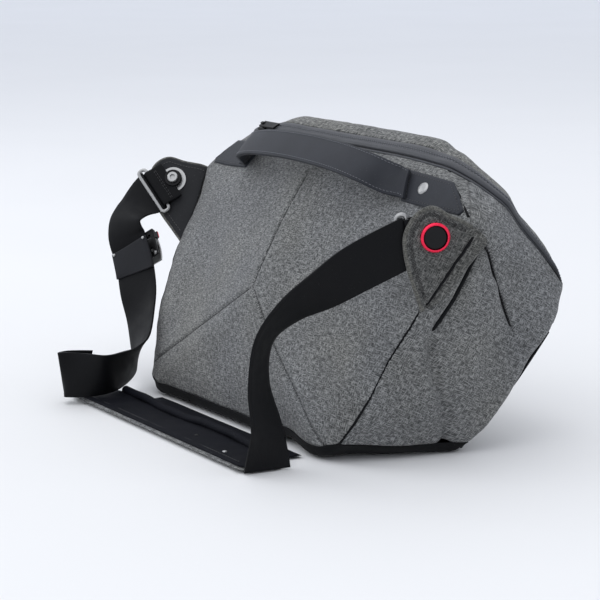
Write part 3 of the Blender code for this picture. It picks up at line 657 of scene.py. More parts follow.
def held_back(co):
    """Points eased back towards the CAD's facets, by how far each panel may bulge."""
    bm = hull_bmesh()
    for face in bm.faces:
        normal, origin, kind = face.normal, face.calc_center_median(), facet_kind(face)
        bulge = {"back": 0.0022, "side": 0.0030, "top": 0.0016}.get(kind, 0.0004)
        if abs(origin.x) > 0.11 and kind == "back":
            bulge = 0.0005
        beyond = (co - np.array(origin)) @ np.array(normal) - bulge
        co = co - np.maximum(beyond, 0)[:, None] * 0.9 * np.array(normal)
    bm.free()
    return co


def soft_body(name, scale, voxel, cap, held=False):
    """The rounded, padded form of the body, as one closed skin."""
    obj = object_from(hull_bmesh(scale), name)
    remeshed(obj, voxel)
    set_coordinates(obj, relax(coordinates(obj), edge_array(obj), 3))
    inflate(obj, cap)
    co = coordinates(obj)
    if held:
        co = settled(held_back(co))
    co = relax(co, edge_array(obj), 1)
    co[:, 2] = np.maximum(co[:, 2], SKIN_FLOOR)
    set_coordinates(obj, co)
    modifier = obj.modifiers.new("round", "SUBSURF")
    modifier.levels = modifier.render_levels = 1
    applied(obj)
    with editing(obj) as bm:
        tree = BVHTree.FromBMesh(bm)
    bpy.data.objects.remove(obj)
    return tree


SKIN = soft_body("skin", SKIN_SCALE, 0.005, 0.0045, held=True)
LINING_SKIN = soft_body("lining_skin", LINER_SCALE, 0.006, 0.0025)


# A ray that lands further than this from its point has slipped through a gap
FAR_HIT = 0.03


def on_skin(point, offset=0.0, tree=SKIN):
    """The skin's point in line with the core and point, moved outwards, and its normal."""
    ray = (point - CORE_AT).normalized()
    hit, normal, _, _ = tree.ray_cast(CORE_AT, ray)
    if hit is None or (hit - point).length > FAR_HIT:
        beside = (ray + Vector((0.0007, -0.0005, 0.0006))).normalized()
        hit, normal, _, _ = tree.ray_cast(CORE_AT, beside)
    if hit is None:
        return point, ray
    if normal.dot(ray) < 0:
        normal = -normal
    return hit + normal * offset, normal


# Seams and creases, as bag coordinates: (points, depth, half width)
BACK_SEAMS = [
    [APEX, (-0.003, -0.026, 0.163), (-0.003, -0.021, 0.216)],
    [APEX, (-0.079, -0.016, 0.068), (-0.166, 0.0, 0.020)],
    [APEX, (0.042, -0.021, 0.076), (0.097, -0.011, 0.038), (0.150, 0.0, 0.002)],
]
DART = [(0.199, 0.005, 0.202), (0.192, 0.030, 0.191), (0.187, 0.047, 0.178),
        (0.182, 0.065, 0.165), (0.175, 0.088, 0.146)]
UNDER_WING = [(0.195, 0.021, 0.197), (0.192, 0.021, 0.173), (0.187, 0.022, 0.150),
              (0.181, 0.019, 0.118)]
SIDE_CREASE = [(0.181, 0.019, 0.118), (0.173, 0.045, 0.090), (0.170, 0.057, 0.081),
               (0.165, 0.072, 0.063), (0.160, 0.086, 0.044)]
SIDE_FOLD = [(0.187, 0.047, 0.178), (0.179, 0.061, 0.139), (0.175, 0.065, 0.115),
             (0.170, 0.078, 0.080)]


def skin_line(corners, step=0.004, offset=0.0, tree=SKIN):
    """Points and normals along a line of bag coordinates laid on the skin."""
    points, normals = [], []
    for start, end in zip(corners, corners[1:]):
        a, b = bag(*start), bag(*end)
        count = max(int((b - a).length / step), 1)
        for index in range(count):
            point, normal = on_skin(a.lerp(b, index / count), offset, tree)
            points.append(point)
            normals.append(normal)
    point, normal = on_skin(bag(*corners[-1]), offset, tree)
    return points + [point], normals + [normal]


def tucked(points, normals, depth=0.0036, ends=5):
    """The same line with its ends dipping into the cloth."""
    last = len(points) - 1
    return [point - normal * depth * (1 - min(min(index, last - index) / ends, 1)) ** 2
            for index, (point, normal) in enumerate(zip(points, normals))]


def panel_faces(keep, planes):
    """The facets of the body that keep() accepts, cut about the lid hinge or above the foot."""
    bm = hull_bmesh()
    for low_v, above in planes:
        point, normal = Vector((0, 0, FOOT_CLOTH_TOP)), UP
        if low_v is not None:
            point = bag(*NOSE)
            normal = ACROSS.cross(bag(0, 0, low_v) - bag(0, *NOSE[1:])).normalized()
            if normal.z < 0:
                normal = -normal
        geometry = list(bm.verts) + list(bm.edges) + list(bm.faces)
        bmesh.ops.bisect_plane(bm, geom=geometry, plane_co=point, plane_no=normal,
                               clear_inner=above, clear_outer=not above, dist=1e-6)
    bmesh.ops.delete(bm, geom=[face for face in bm.faces if not keep(face)], context="FACES")
    return bm


def triangulated(bm):
    """Splits what a cut has left with more than three corners."""
    bmesh.ops.triangulate(bm, faces=[face for face in bm.faces if len(face.verts) > 3])


SEAM_REACH = 0.006
SEAM_EDGE = 0.0017


def refine(bm, longest, lines):
    """Split edges until none is longer than allowed, finer near the seam lines."""
    for _ in range(12):
        middles = [(edge.verts[0].co + edge.verts[1].co) / 2 for edge in bm.edges]
        co = np.array([tuple(m) for m in middles])
        allowed = np.full(len(co), longest)
        for line in lines:
            distance, _ = polyline_distance(co, line)
            allowed = np.where(distance < SEAM_REACH, SEAM_EDGE, allowed)
        chosen = [edge for edge, limit in zip(bm.edges, allowed)
                  if edge.calc_length() > limit]
        if not chosen:
            return
        bmesh.ops.subdivide_edges(bm, edges=chosen, cuts=1)
        triangulated(bm)


def without_slivers(obj, shortest=0.0004):
    """Merges triangles too thin to have a sure normal."""
    with editing(obj) as bm:
        bmesh.ops.dissolve_degenerate(bm, edges=bm.edges, dist=shortest)
        triangulated(bm)


def bag_axes(co):
    """Points' x, depth and height in bag coordinates."""
    y = co[:, 1] + BASE_MID_Y
    return {"x": co[:, 0], "d": y * math.cos(LEAN) - co[:, 2] * math.sin(LEAN),
            "v": y * math.sin(LEAN) + co[:, 2] * math.cos(LEAN)}


def sewn_panel(name, look, node, keep, planes, lines=(), flat="xv", longest=0.0034,
               ripple=0.0006, wall=0.0014, body="root", slot=None, tree=SKIN, edge_sink=0.0):
    """A cloth panel on the padded form, with small ripples, and with seams and creases along
    the lines: (corners, depth, half width)."""
    bm = panel_faces(keep, planes)
    bmesh.ops.triangulate(bm, faces=bm.faces)
    refine(bm, longest, [[bag(*corner) for corner in line] for line, _, _ in lines])
    bm.verts.index_update()
    border = np.array([v.is_boundary for v in bm.verts])
    obj = object_from(bm, name, look)
    laid = [on_skin(vertex.co.copy(), 0.0, tree) for vertex in obj.data.vertices]
    co = np.array([tuple(point) for point, _ in laid])
    out = np.array([tuple(normal) for _, normal in laid])
    edges = edge_array(obj)
    for _ in range(3):
        co[~border] = relax(co, edges, 1)[~border]
        out = relax(out, edges, 1)
    out /= np.linalg.norm(out, axis=1, keepdims=True)
    offset = np.zeros(len(co))
    for line, depth, half in lines:
        distance, along = polyline_distance(co, skin_line(line, 0.005, 0.0, tree)[0])
        fade = np.clip(np.minimum(along, 1 - along) * 12, 0, 1) ** 0.5
        offset -= depth * np.exp(-(distance / half) ** 2) * fade
    for index, (spot, _) in enumerate(laid):
        offset[index] += ripple * noise.noise(spot * 34.0)
        offset[index] += ripple * 0.45 * noise.noise(spot * 90.0 + Vector((5, 2, 8)))
    offset[border] -= edge_sink
    co += out * offset[:, None]
    co[:, 2] = np.maximum(co[:, 2], PANEL_FLOOR)
    set_coordinates(obj, co)
    without_slivers(obj)
    axes = bag_axes(coordinates(obj))
    set_cloth(obj, np.stack([axes[flat[0]], axes[flat[1]], 0 * axes["x"]], axis=1))
    smooth_shaded(obj.data)
    return attach(solidify(obj, wall), body, slot or look, node)


def is_kind(*kinds, side=0):
    """A test for facets of these kinds, on one side of the bag or on both."""
    return lambda face: (facet_kind(face) in kinds
                         and face.calc_center_median().x * side >= 0)


def is_any(face):
    return True


EDGE_SINK = 0.0008
SEAM_DEPTH = 0.0019
SEAM_HALF = 0.0017
BELOW_RIM = [(RIM_V, False)]
SIDE_CLOTH = BELOW_RIM + [(None, True)]
GUSSET_LINES = [(DART, 0.0024, 0.0020), (UNDER_WING, 0.0042, 0.0030),
                (SIDE_CREASE, 0.0052, 0.0046), (SIDE_FOLD, -0.0026, 0.0080)]


def build_body():
    """Back, gussets, front, base and lid, each a sewn panel on the padded form."""
    sewn_panel("back_cloth", "heather", "back_panel", is_kind("back"), SIDE_CLOTH,
               [(line, SEAM_DEPTH, SEAM_HALF) for line in BACK_SEAMS], edge_sink=EDGE_SINK)
    for side, name in SIDES:
        sewn_panel("gusset_cloth_" + name, "heather", "gusset_" + name,
                   is_kind("side", side=side), SIDE_CLOTH,
                   [(on_side(line, side), depth, half) for line, depth, half in GUSSET_LINES],
                   flat="dv", edge_sink=EDGE_SINK)
    sewn_panel("front_cloth", "heather", "front_panel", is_kind("front", "top"), SIDE_CLOTH,
               edge_sink=EDGE_SINK)
    sewn_panel("base_cloth", "black_cloth", "base_panel", is_any, [(None, False)], flat="xd",
               ripple=0.0)
    sewn_panel("lid_cloth", "lid_heather", "lid_shell", is_any, [(ZIP_HIGH_V, True)],
               flat="xd", body="lid", slot="heather", edge_sink=EDGE_SINK)


# Rim: rows round the opening, each in a plane about the lid's hinge line

RIM_STEPS = 132
# Profiles of the zip's tape and of the lid's band: height over the rim, how far it stands out
TAPE = [(-0.0014, 0.0002), (-0.0006, 0.0008), (0.0004, 0.0008), (0.0012, -0.0002),
        (0.0030, -0.0016)]
BAND = [(0.0016, -0.0006), (0.0016, 0.0012), (0.0022, 0.0022), (0.0040, 0.0028),
        (0.0062, 0.0028), (0.0074, 0.0022), (0.0080, 0.0012), (0.0086, 0.0022),
        (0.0105, 0.0027), (0.0135, 0.0024), (0.0152, 0.0016), (0.0158, 0.0004)]


def rim_row(height, offset=0.0, tree=SKIN):
    """Points round the body from the right nose, behind the back, to the left nose."""
    hinge, back = bag(0, *NOSE[1:]), bag(0, 0, RIM_V + height)
    centre = hinge.lerp(back, 0.5)
    towards = (back - hinge).normalized()
    nose = bag(*NOSE) - centre
    start = math.atan2(nose.dot(towards), nose.x) + 0.02
    points, normals = [], []
    for index in range(RIM_STEPS + 1):
        ray = turned(ACROSS, towards, start + (math.pi - 2 * start) * index / RIM_STEPS)
        hit, normal, _, _ = tree.ray_cast(centre, ray)
        if hit is None:
            hit, normal = centre + ray * 0.1, ray
        if normal.dot(ray) < 0:
            normal = -normal
        near_end = min((min(index, RIM_STEPS - index) + 0.5) / 4, 1.0)
        points.append(hit + normal * (offset * near_end - 0.0012 * (1 - near_end)))
        normals.append(normal)
    return points, normals


def sheet(name, rows, look, cloth):
    """A sheet through rows of points."""
    return make(name, [p for row in rows for p in row], grid_faces(len(rows), len(rows[0])),
                look, cloth=cloth)


def rim_band(name, profile, body, node):
    """A band round the rim that follows a profile."""
    rows = [rim_row(height, offset)[0] for height, offset in profile]
    lengths = [0.0]
    for before, after in zip(rows[0], rows[0][1:]):
        lengths.append(lengths[-1] + (after - before).length)
    cloth = [(length, RIM_V + height, 0) for height, _ in profile for length in lengths]
    obj = sheet(name, rows, "zip_cover", cloth)
    with editing(obj) as bm:
        bmesh.ops.recalc_face_normals(bm, faces=bm.faces)
        middle = bm.faces[:][len(bm.faces) // 2]
        if middle.normal.dot(middle.calc_center_median() - CORE_AT) < 0:
            bmesh.ops.reverse_faces(bm, faces=bm.faces)
    attach(solidify(obj, 0.0014), body, "zip_cover", node)


def build_rim():
    rim_band("zip_tape_cloth", TAPE, "root", "zip_tape_body")
    rim_band("zip_cover_band", BAND, "lid", "zip_band_lid")
    coil, _ = rim_row(0.0012, -0.0004)
    tube("zip_coil", coil, 0.0011, "black_plastic", "black_plastic", sides=8)
    rows = [rim_row(height, 0.0026) for height in (0.0070, 0.0092)]
    stitches("band_stitches", rows, "slate_thread", "lid", "zip_cover")


BELOW_WING = tuple(a + (b - a) * 0.35 for a, b in zip(WIDEST, SIDE_LOW))
NEAR_WING = tuple(a + (b - a) * 0.90 for a, b in zip(TOP, WIDEST))
# Black tubes painted as shade in the folds: piece, line, step along it, how far out it lies, how
# its ends dip, and its radius
PAINTED_FOLD_SHADES = [
    ("panel_fold_shadow_top_", [TOP, NEAR_WING], 0.004, -0.0011, (0, 1), 0.0012),
    ("panel_fold_shadow_side_", [BELOW_WING, SIDE_LOW, SIDE_LOWER, FOOT_IN], 0.004, -0.0011,
     (0.0036, 5), 0.0012),
    ("fold_shadow_wing_", UNDER_WING, 0.003, -0.0033, (0.0040, 4), 0.0017),
    ("fold_shadow_dart_", DART, 0.003, -0.0016, (0.0040, 4), 0.0009),
]


def seam_details():
    """Dark thread in the seam grooves, and black tubes painted as shade inside the folds."""
    rows = [skin_line(line, 0.004, -0.0009) for line in BACK_SEAMS]
    stitches("back_seam_stitches", rows, "dark_thread", "root", "heather")
    for side, name in SIDES:
        for piece, line, step, out, dip, radius in PAINTED_FOLD_SHADES:
            points, normals = skin_line(on_side(line, side), step, out)
            # Each fold's painted shade: a black tube tucked into the cloth along it
            tube(piece + name, tucked(points, normals, *dip), radius, "black_cloth",
                 "black_cloth", sides=8, normals=normals)
        rows = [skin_line(on_side(DART, side), 0.003, -0.0008)]
        stitches("dart_stitches_" + name, rows, "dark_thread", "root", "heather")


build_body()
build_rim()
seam_details()


# Straps

EDGE_ROUNDING = 0.32


def strap(name, stations, width, thick, look, steps=8, columns=9, arch=0.0):
    """A woven strap: rows of points across it, thickened, with rolled edges."""
    path = smooth_path(stations, steps)
    centres = [centre for centre, _ in path]
    vertices, cloth = [], []
    travelled = 0.0
    for index, (centre, across) in enumerate(path):
        if index:
            travelled += (centre - centres[index - 1]).length
        half = across.normalized()
        face = half.cross(heading(centres, index)).normalized()
        for column in range(columns):
            share = 2 * column / (columns - 1) - 1
            vertices.append(centre + half * share * width / 2 + face * arch * (1 - share ** 2))
            cloth.append((share * width / 2, travelled, 0))
    obj = make(name, vertices, grid_faces(len(path), columns), look, cloth=cloth)
    solidify(obj, thick, 0)
    bevel = obj.modifiers.new("edge", "BEVEL")
    bevel.width = thick * EDGE_ROUNDING
    bevel.segments = 2
    bevel.limit_method = "ANGLE"
    bevel.angle_limit = math.radians(50)
    return applied(obj)


RIGHT_RUN = [((0.167, 0.013, 0.153), (-0.06, -0.53, 0.85)),
             ((0.156, -0.010, 0.137), (0.22, -0.65, 0.72)),
             ((0.143, -0.031, 0.121), (0.48, -0.74, 0.47)),
             ((0.134, -0.047, 0.099), (0.62, -0.76, 0.20)),
             ((0.133, -0.051, 0.066), (0.60, -0.80, 0.02)),
             ((0.137, -0.047, 0.034), (0.42, -0.91, -0.05)),
             ((0.1355, -0.0455, 0.0015), (-0.08, -1.0, 0.0))]
LEFT_UPPER_RUN = [((-0.228, 0.034, 0.149), (-0.90, -0.20, 0.28)),
                  ((-0.231, 0.028, 0.143), (-0.95, -0.16, 0.14)),
                  ((-0.232, 0.024, 0.136), (-0.96, -0.28, -0.06)),
                  ((-0.230, 0.023, 0.127), (-0.86, -0.43, -0.28)),
                  ((-0.228, 0.024, 0.120), (-0.72, -0.50, -0.45))]
LEFT_LOWER_RUN = [((-0.220, 0.0225, 0.1155), (0.71, 0.47, 0.52)),
                  ((-0.208, 0.021, 0.100), (0.69, 0.52, 0.47)),
                  ((-0.196, 0.018, 0.080), (0.78, 0.50, 0.37)),
                  ((-0.184, 0.014, 0.060), (0.87, 0.25, 0.43)),
                  ((-0.168, 0.005, 0.0400), (0.88, 0.0, 0.43)),
                  ((-0.154, -0.006, 0.0285), (0.67, -0.31, 0.68)),
                  ((-0.132, -0.0300, 0.0262), (0.42, -0.16, 0.88)),
                  ((-0.120, -0.0540, 0.0262), (0.30, -0.14, 0.93)),
                  ((-0.135, -0.0750, 0.0256), (0.0, 0.20, 0.97)),
                  ((-0.1435, -0.0815, 0.0260), (0.10, -0.18, 0.95)),
                  ((-0.1465, -0.0740, 0.0265), (0.20, -0.05, 0.96)),
                  ((-0.1400, -0.0590, 0.0270), (0.32, 0.10, 0.92))]
HUB_ALONG = 0.0217
BAR_REACH = 0.0165
RING_GAP = 0.007
LOOP_RADIUS = 0.0030
WRAP_RADIUS = 0.0028
CONNECTOR_LEVEL = -0.0052
WINGS = {"right": (1, 72, 0.0195, 42), "left": (-1, 50, 0.0250, 48)}


def stations_of(run):
    """A run's places and directions across, from floor coordinates."""
    return [[floor(*centre), Vector(across).normalized()] for centre, across in run]


class WingFrame:
    """Directions of a wing: down its base, out over the edge, and its outward face."""

    def __init__(self, name):
        self.side, angle, self.hub_out, turn = WINGS[name]
        self.corner = bag(self.side * WIDEST[0], 0, WIDEST[2])
        self.along = (bag(self.side * 0.160, 0, 0) - self.corner).normalized()
        swing = math.radians(angle)
        out = direction(-math.cos(swing), -math.sin(swing), 0)
        self.out = (out - self.along * out.dot(self.along)).normalized()
        self.face = self.along.cross(self.out)
        if self.face.x * self.side < 0:
            self.face = -self.face
        self.hub = self.corner + self.along * HUB_ALONG + self.out * self.hub_out
        lean = math.radians(turn)
        self.reach = self.out * math.cos(lean) + self.along * math.sin(lean)
        self.bar = self.reach.cross(self.face).normalized()
        if self.bar.z < 0:
            self.bar = -self.bar
        self.connector = self.hub + self.face * CONNECTOR_LEVEL
        self.strap_start = self.connector + self.reach * (BAR_REACH + RING_GAP + 0.0036)


WING_FRAMES = {name: WingFrame(name) for name in WINGS}


def build_straps():
    left = WING_FRAMES["left"]
    upper = stations_of(LEFT_UPPER_RUN)
    bar = left.bar if left.bar.dot(upper[0][1]) > 0 else -left.bar
    wrap = [[point, bar.copy()] for point, _ in ring_wrap(left)]
    tail = [[floor(-0.2262, 0.0250, 0.1140), Vector((-0.71, -0.48, -0.50)).normalized()]]
    # Strap, its stations, its wing, and a far place along it, which is not used
    runs = (("right", ring_wrap(WING_FRAMES["right"]) + stations_of(RIGHT_RUN), "right",
             (0.143, -0.031, 0.121)),
            ("left_upper", wrap + upper + tail, "left", (-0.228, 0.024, 0.120)),
            ("left_lower", stations_of(LEFT_LOWER_RUN), None, None))
    for name, run, wing, far in runs:
        webbing = strap("webbing_%s_cloth" % name, run, WEBBING_WIDTH, WEBBING, "webbing")
        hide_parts("webbing_" + name)
        if wing:
            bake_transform(webbing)
        else:
            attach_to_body(webbing, "root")


# Cushions: padded pieces between two faces that meet at a rounded edge

def cushion(name, look, place, thick, rows, columns, edge=0.2, cloth=None, puff=0.0):
    """place(s, t) gives a middle point and its normal; s runs along, t across, both 0 to 1."""
    def height(share):
        near = min(share, 1 - share) / edge
        return math.sqrt(max(0.0, 1 - (1 - near) ** 2)) if near < 1 else 1.0

    sheets = []
    for side in (1, -1):
        for row in range(rows + 1):
            for column in range(columns + 1):
                s, t = row / rows, column / columns
                point, normal = place(s, t)
                swell = puff * noise.noise(point * 60.0) if side > 0 else 0
                sheets.append(point + normal * side * (thick / 2 + swell)
                              * (height(s) * height(t)))
    half = (rows + 1) * (columns + 1)
    top = grid_faces(rows + 1, columns + 1)
    obj = make(name, sheets, top + [tuple(reversed([half + i for i in f])) for f in top], look)
    with editing(obj) as bm:
        rim = [v for v in bm.verts if v.index % half // (columns + 1) in (0, rows)
               or v.index % half % (columns + 1) in (0, columns)]
        bmesh.ops.remove_doubles(bm, verts=rim, dist=1e-6)
        bmesh.ops.recalc_face_normals(bm, faces=bm.faces)
    co = coordinates(obj)
    set_cloth(obj, cloth(co) if cloth else co)
    return obj


# Wings

# Leaf outline as (down the base, out from the edge): base corner, top, free edge, tip, root
LEAF_FREE = [(0.0034, -0.0026), (0.0026, 0.0050), (0.0036, 0.0180), (0.0032, 0.0295),
             (0.0086, 0.0365), (0.0173, 0.0397), (0.0301, 0.0393), (0.0416, 0.0329),
             (0.0534, 0.0227), (0.0632, 0.0123), (0.0743, 0.0004)]
LEAF_ROOT = [(0.0743, 0.0004), (0.0660, -0.0050), (0.0563, -0.0090), (0.0387, -0.0107),
             (0.0248, -0.0125), (0.0103, -0.0153), (0.0060, -0.0110), (0.0034, -0.0026)]
LEAF_VALLEY = [(0.0070, -0.0058), (0.0350, -0.0040), (0.0710, -0.0004)]
# Line of the black tube painted as shade in the leaf's fold
LEAF_FOLD = [(0.0080, -0.0052), (0.0350, -0.0036), (0.0690, -0.0004)]

def plane_curve(corners, steps=7):
    path = smooth_path([[Vector((a, o, 0))] for a, o in corners], steps)
    return [point[0] for point in path]


class Leaf:
    """Maps flat leaf coordinates onto the wing and, below its base, onto the gusset."""
    BEND = 0.0030
    def __init__(self, name):
        self.frame = WING_FRAMES[name]
        self.frame = WING_FRAMES[name]
        self.stretch = self.frame.hub_out / 0.0195 * 0.5 + 0.5
        towards = direction(-0.124 * self.frame.side, 1, 0)
        along = self.frame.along
        self.over = (towards - along * towards.dot(along)).normalized()

    def at(self, a, o, lift=0.0):
        frame = self.frame
        bent = math.sqrt(o * o + self.BEND ** 2)
        out = (o + bent) / 2 * (self.stretch if o > 0 else 1)
        back = (-o + bent) / 2 * 1.31
        point = frame.corner + frame.along * a + frame.out * out + self.over * back
        on_gusset = min(max((-o - 0.001) / 0.004, 0), 1)
        normal = frame.face
        if on_gusset:
            rest, rest_normal = on_skin(point, 0.0016)
            point = point.lerp(rest, on_gusset)
            normal = normal.lerp(rest_normal, on_gusset).normalized()
        return point + normal * lift
    def line(self, points, lift, side=1):
        """A flat line's points on the wing, and their normals."""
        return ([self.at(p.x, p.y, lift) for p in points],
                [self.frame.face * side] * len(points))


def filled(name, look, outline, longest, rounds, even=False):
    """A flat outline filled with small triangles."""
    bm = bmesh.new()
    bm.faces.new([bm.verts.new(p) for p in outline])
    bmesh.ops.triangulate(bm, faces=bm.faces)
    for _ in range(rounds):
        edges = [e for e in bm.edges if e.calc_length() > longest]
        if not edges:
            break
        bmesh.ops.subdivide_edges(bm, edges=edges, cuts=1)
        triangulated(bm)
    if even:
        bmesh.ops.beautify_fill(bm, faces=bm.faces, edges=bm.edges)
    return object_from(bm, name, look)


def laid_down(obj, flat, placed, towards, wall):
    """The filled outline in its place, facing towards a direction, with a thickness."""
    set_coordinates(obj, [tuple(p) for p in placed])
    set_cloth(obj, flat)
    smooth_shaded(obj.data)
    with editing(obj) as bm:
        bmesh.ops.recalc_face_normals(bm, faces=bm.faces)
        total = sum((face.normal * face.calc_area() for face in bm.faces), Vector())
        if total.dot(towards) < 0:
            bmesh.ops.reverse_faces(bm, faces=bm.faces)
    return solidify(obj, wall)


def flat_points(corners):
    """Flat leaf or patch corners as points."""
    return [(a, o, 0) for a, o in corners]


def leaf_patch(name, look, leaf, outline, lift, wall, puffed):
    """The leaf's cloth: a filled outline, puffed inside its stitched edge."""
    obj = filled(name, look, outline, 0.0022, 7, even=True)
    flat = coordinates(obj)
    edge, _ = polyline_distance(flat, plane_curve(LEAF_FREE))
    root, _ = polyline_distance(flat, flat_points(LEAF_ROOT))
    valley, _ = polyline_distance(flat, flat_points(LEAF_VALLEY))
    lifts = np.full(len(flat), lift)
    if puffed:
        near = np.minimum(edge, root)
        lifts += 0.0012 * (1 - np.exp(-(near / 0.0045) ** 2))
        lifts -= 0.0013 * np.exp(-((edge - 0.0042) / 0.0010) ** 2)
        lifts -= 0.0018 * np.exp(-(valley / 0.0020) ** 2)
    placed = [leaf.at(p[0], p[1], h) for p, h in zip(flat, lifts)]
    return laid_down(obj, flat, placed, leaf.frame.face, wall)


def inset_line(points, distance):
    """A flat line moved towards the leaf's middle."""
    middle = Vector((0.030, 0.012, 0))
    moved = []
    for index, point in enumerate(points):
        normal = heading(points, index).cross(UP).normalized()
        if normal.dot(middle - point) < 0:
            normal = -normal
        moved.append(point + normal * distance)
    return moved


def build_wings():
    free = plane_curve(LEAF_FREE)
    outline = free[:-1] + plane_curve(LEAF_ROOT)[:-1]
    inside = [p for p in free if p.y > -0.0005]
    inside += [Vector((0.0725, 0.0004, 0)), Vector((0.0400, -0.0002, 0))]
    outer_row, inner_row = (inset_line(free, distance)[3:-4] for distance in (0.0036, 0.0052))
    for name in WINGS:
        leaf = Leaf(name)
        cloth = leaf_patch("wing_cloth_" + name, "wing_heather", leaf, outline, 0.0014, 0.0016,
                           True)
        attach(cloth, "root", "heather", "wing_" + name, fill=0.5)
        inner = leaf_patch("wing_lining_" + name, "lining_black", leaf, inside, -0.0010,
                           0.0010, False)
        attach(inner, "root", "heather")
        edge, normals = leaf.line(free, 0.0)
        tube("wing_binding_" + name, edge, 0.0019, "binding", "heather", flat=0.95,
             normals=normals)
        # A black tube along the leaf's fold: painted shade in the crease
        valley, normals = leaf.line(plane_curve(LEAF_FOLD, 12), 0.0012)
        tube("wing_valley_shadow_" + name, tucked(valley, normals, 0.0030, 5), 0.0011, "black_cloth",
             "black_cloth", sides=8, normals=normals)
        rows = [leaf.line(row, 0.0021) for row in (outer_row, inner_row)]
        stitches("wing_stitches_" + name, rows, "dark_thread", "root", "heather", 0.0026, 0.0019,
                 0.00036)
        rows = [leaf.line(outer_row, -0.0021, -1)]
        stitches("wing_inner_stitches_" + name, rows, "grey_thread", "root", "heather", 0.0026,
                 0.0018, 0.00026)


# Pivot webbing: two plies looped round the ring's inner bar

def build_connectors():
    for name, wing in WING_FRAMES.items():
        bar = wing.connector + wing.reach * BAR_REACH
        centres = [wing.connector + wing.reach * reach + wing.face * lift
                   for reach, lift in ((0.0015, 0.0014), (0.0070, 0.0015), (0.0120, 0.0022))]
        centres += [bar + turned(wing.reach, wing.face, math.radians(angle)) * LOOP_RADIUS
                    for angle in (100, 60, 20, -20, -60, -100)]
        centres += [wing.connector + wing.reach * reach - wing.face * lift
                    for reach, lift in ((0.0120, 0.0024), (0.0070, 0.0018), (0.0015, 0.0016))]
        loop = strap("connector_cloth_" + name, [[centre, wing.bar.copy()] for centre in centres],
                     0.0345, 0.0014, "webbing", steps=4, columns=13)
        attach(loop, "strap_pivot_" + name, "webbing", "connector_" + name)
        rows = []
        for reach in (0.0095, 0.0110):
            points = [wing.connector + wing.reach * reach - wing.face * 0.0031
                      + wing.bar * (share * 0.0155) for share in (-1, -0.5, 0, 0.5, 1)]
            rows.append((points, [-wing.face] * len(points)))
        stitches("connector_stitches_" + name, rows, "dark_thread", "strap_pivot_" + name,
                 "webbing")


def ring_wrap(wing):
    """Stations of the webbing's turn over the outward side of the ring's outer bar."""
    bar = wing.connector + wing.reach * (BAR_REACH + RING_GAP)
    return [[bar + turned(wing.reach, wing.face, math.radians(angle)) * WRAP_RADIUS,
             wing.bar.copy()] for angle in (228, 205, 180, 150, 120, 90)]


# The carry handle and its patches

HANDLE_END_X = 0.108
HANDLE_WIDTH = 0.026
HANDLE_ARCH = [(0.965, -0.0205, 0.2220, 0.22), (0.83, -0.0335, 0.2235, 0.32),
               (0.50, -0.0400, 0.2262, 0.36)]
PATCH_CORNERS = [(0.1075, 0.2345), (0.1350, 0.2337), (0.1630, 0.2326), (0.1765, 0.2230),
                 (0.1880, 0.2130), (0.1862, 0.2086), (0.1530, 0.2078), (0.1190, 0.2085)]
PATCH_STITCHES = [(0.1105, 0.2318), (0.1350, 0.2310), (0.1618, 0.2300), (0.1742, 0.2210),
                  (0.1845, 0.2118), (0.1530, 0.2104), (0.1215, 0.2110), (0.1105, 0.2318)]
RIVET_AT = (0.136, 0.222)
RIVET_PROFILE = [(0, 0.0013), (0.0022, 0.00125), (0.0040, 0.00095), (0.0049, 0.0005),
                 (0.0052, 0.0), (0.0050, -0.0010)]


def build_handle():
    def arch(side):
        return [[bag(side * share * HANDLE_END_X, d, v), direction(0, lean, 1)]
                for share, d, v, lean in HANDLE_ARCH]

    near = [[on_back(0.1200, 0.2212, 0.0042), end_lean(1)],
            [on_back(0.1130, 0.2215, 0.0052), end_lean(1)]]
    far = [[Vector((-p.x, p.y, p.z)), end_lean(-1)] for p, _ in reversed(near)]
    middle = [[bag(0, -0.0420, 0.2275), direction(0, 0.36, 1)]]
    path = near + arch(1) + middle + arch(-1)[::-1] + far
    band = strap("handle_cloth", path, HANDLE_WIDTH, 0.0034, "slate", steps=7, columns=11,
                 arch=0.0011)
    attach(band, "root", "slate", "handle_strap")
    rows = []
    laid = smooth_path(path, 7)
    centres = [centre for centre, _ in laid]
    for share in (-0.86, 0.86):
        points, normals = [], []
        for index, (centre, across) in enumerate(laid):
            across = across.normalized()
            face = across.cross(heading(centres, index)).normalized()
            if face.dot(OUT_BACK) < 0:
                face = -face
            points.append(centre + across * share * HANDLE_WIDTH / 2 + face * 0.0021)
            normals.append(face)
        rows.append((points[2:-2], normals[2:-2]))
    stitches("handle_stitches", rows, "slate_thread", "root", "slate", radius=0.00024)
    for side, name in SIDES:
        build_patch(side, name)


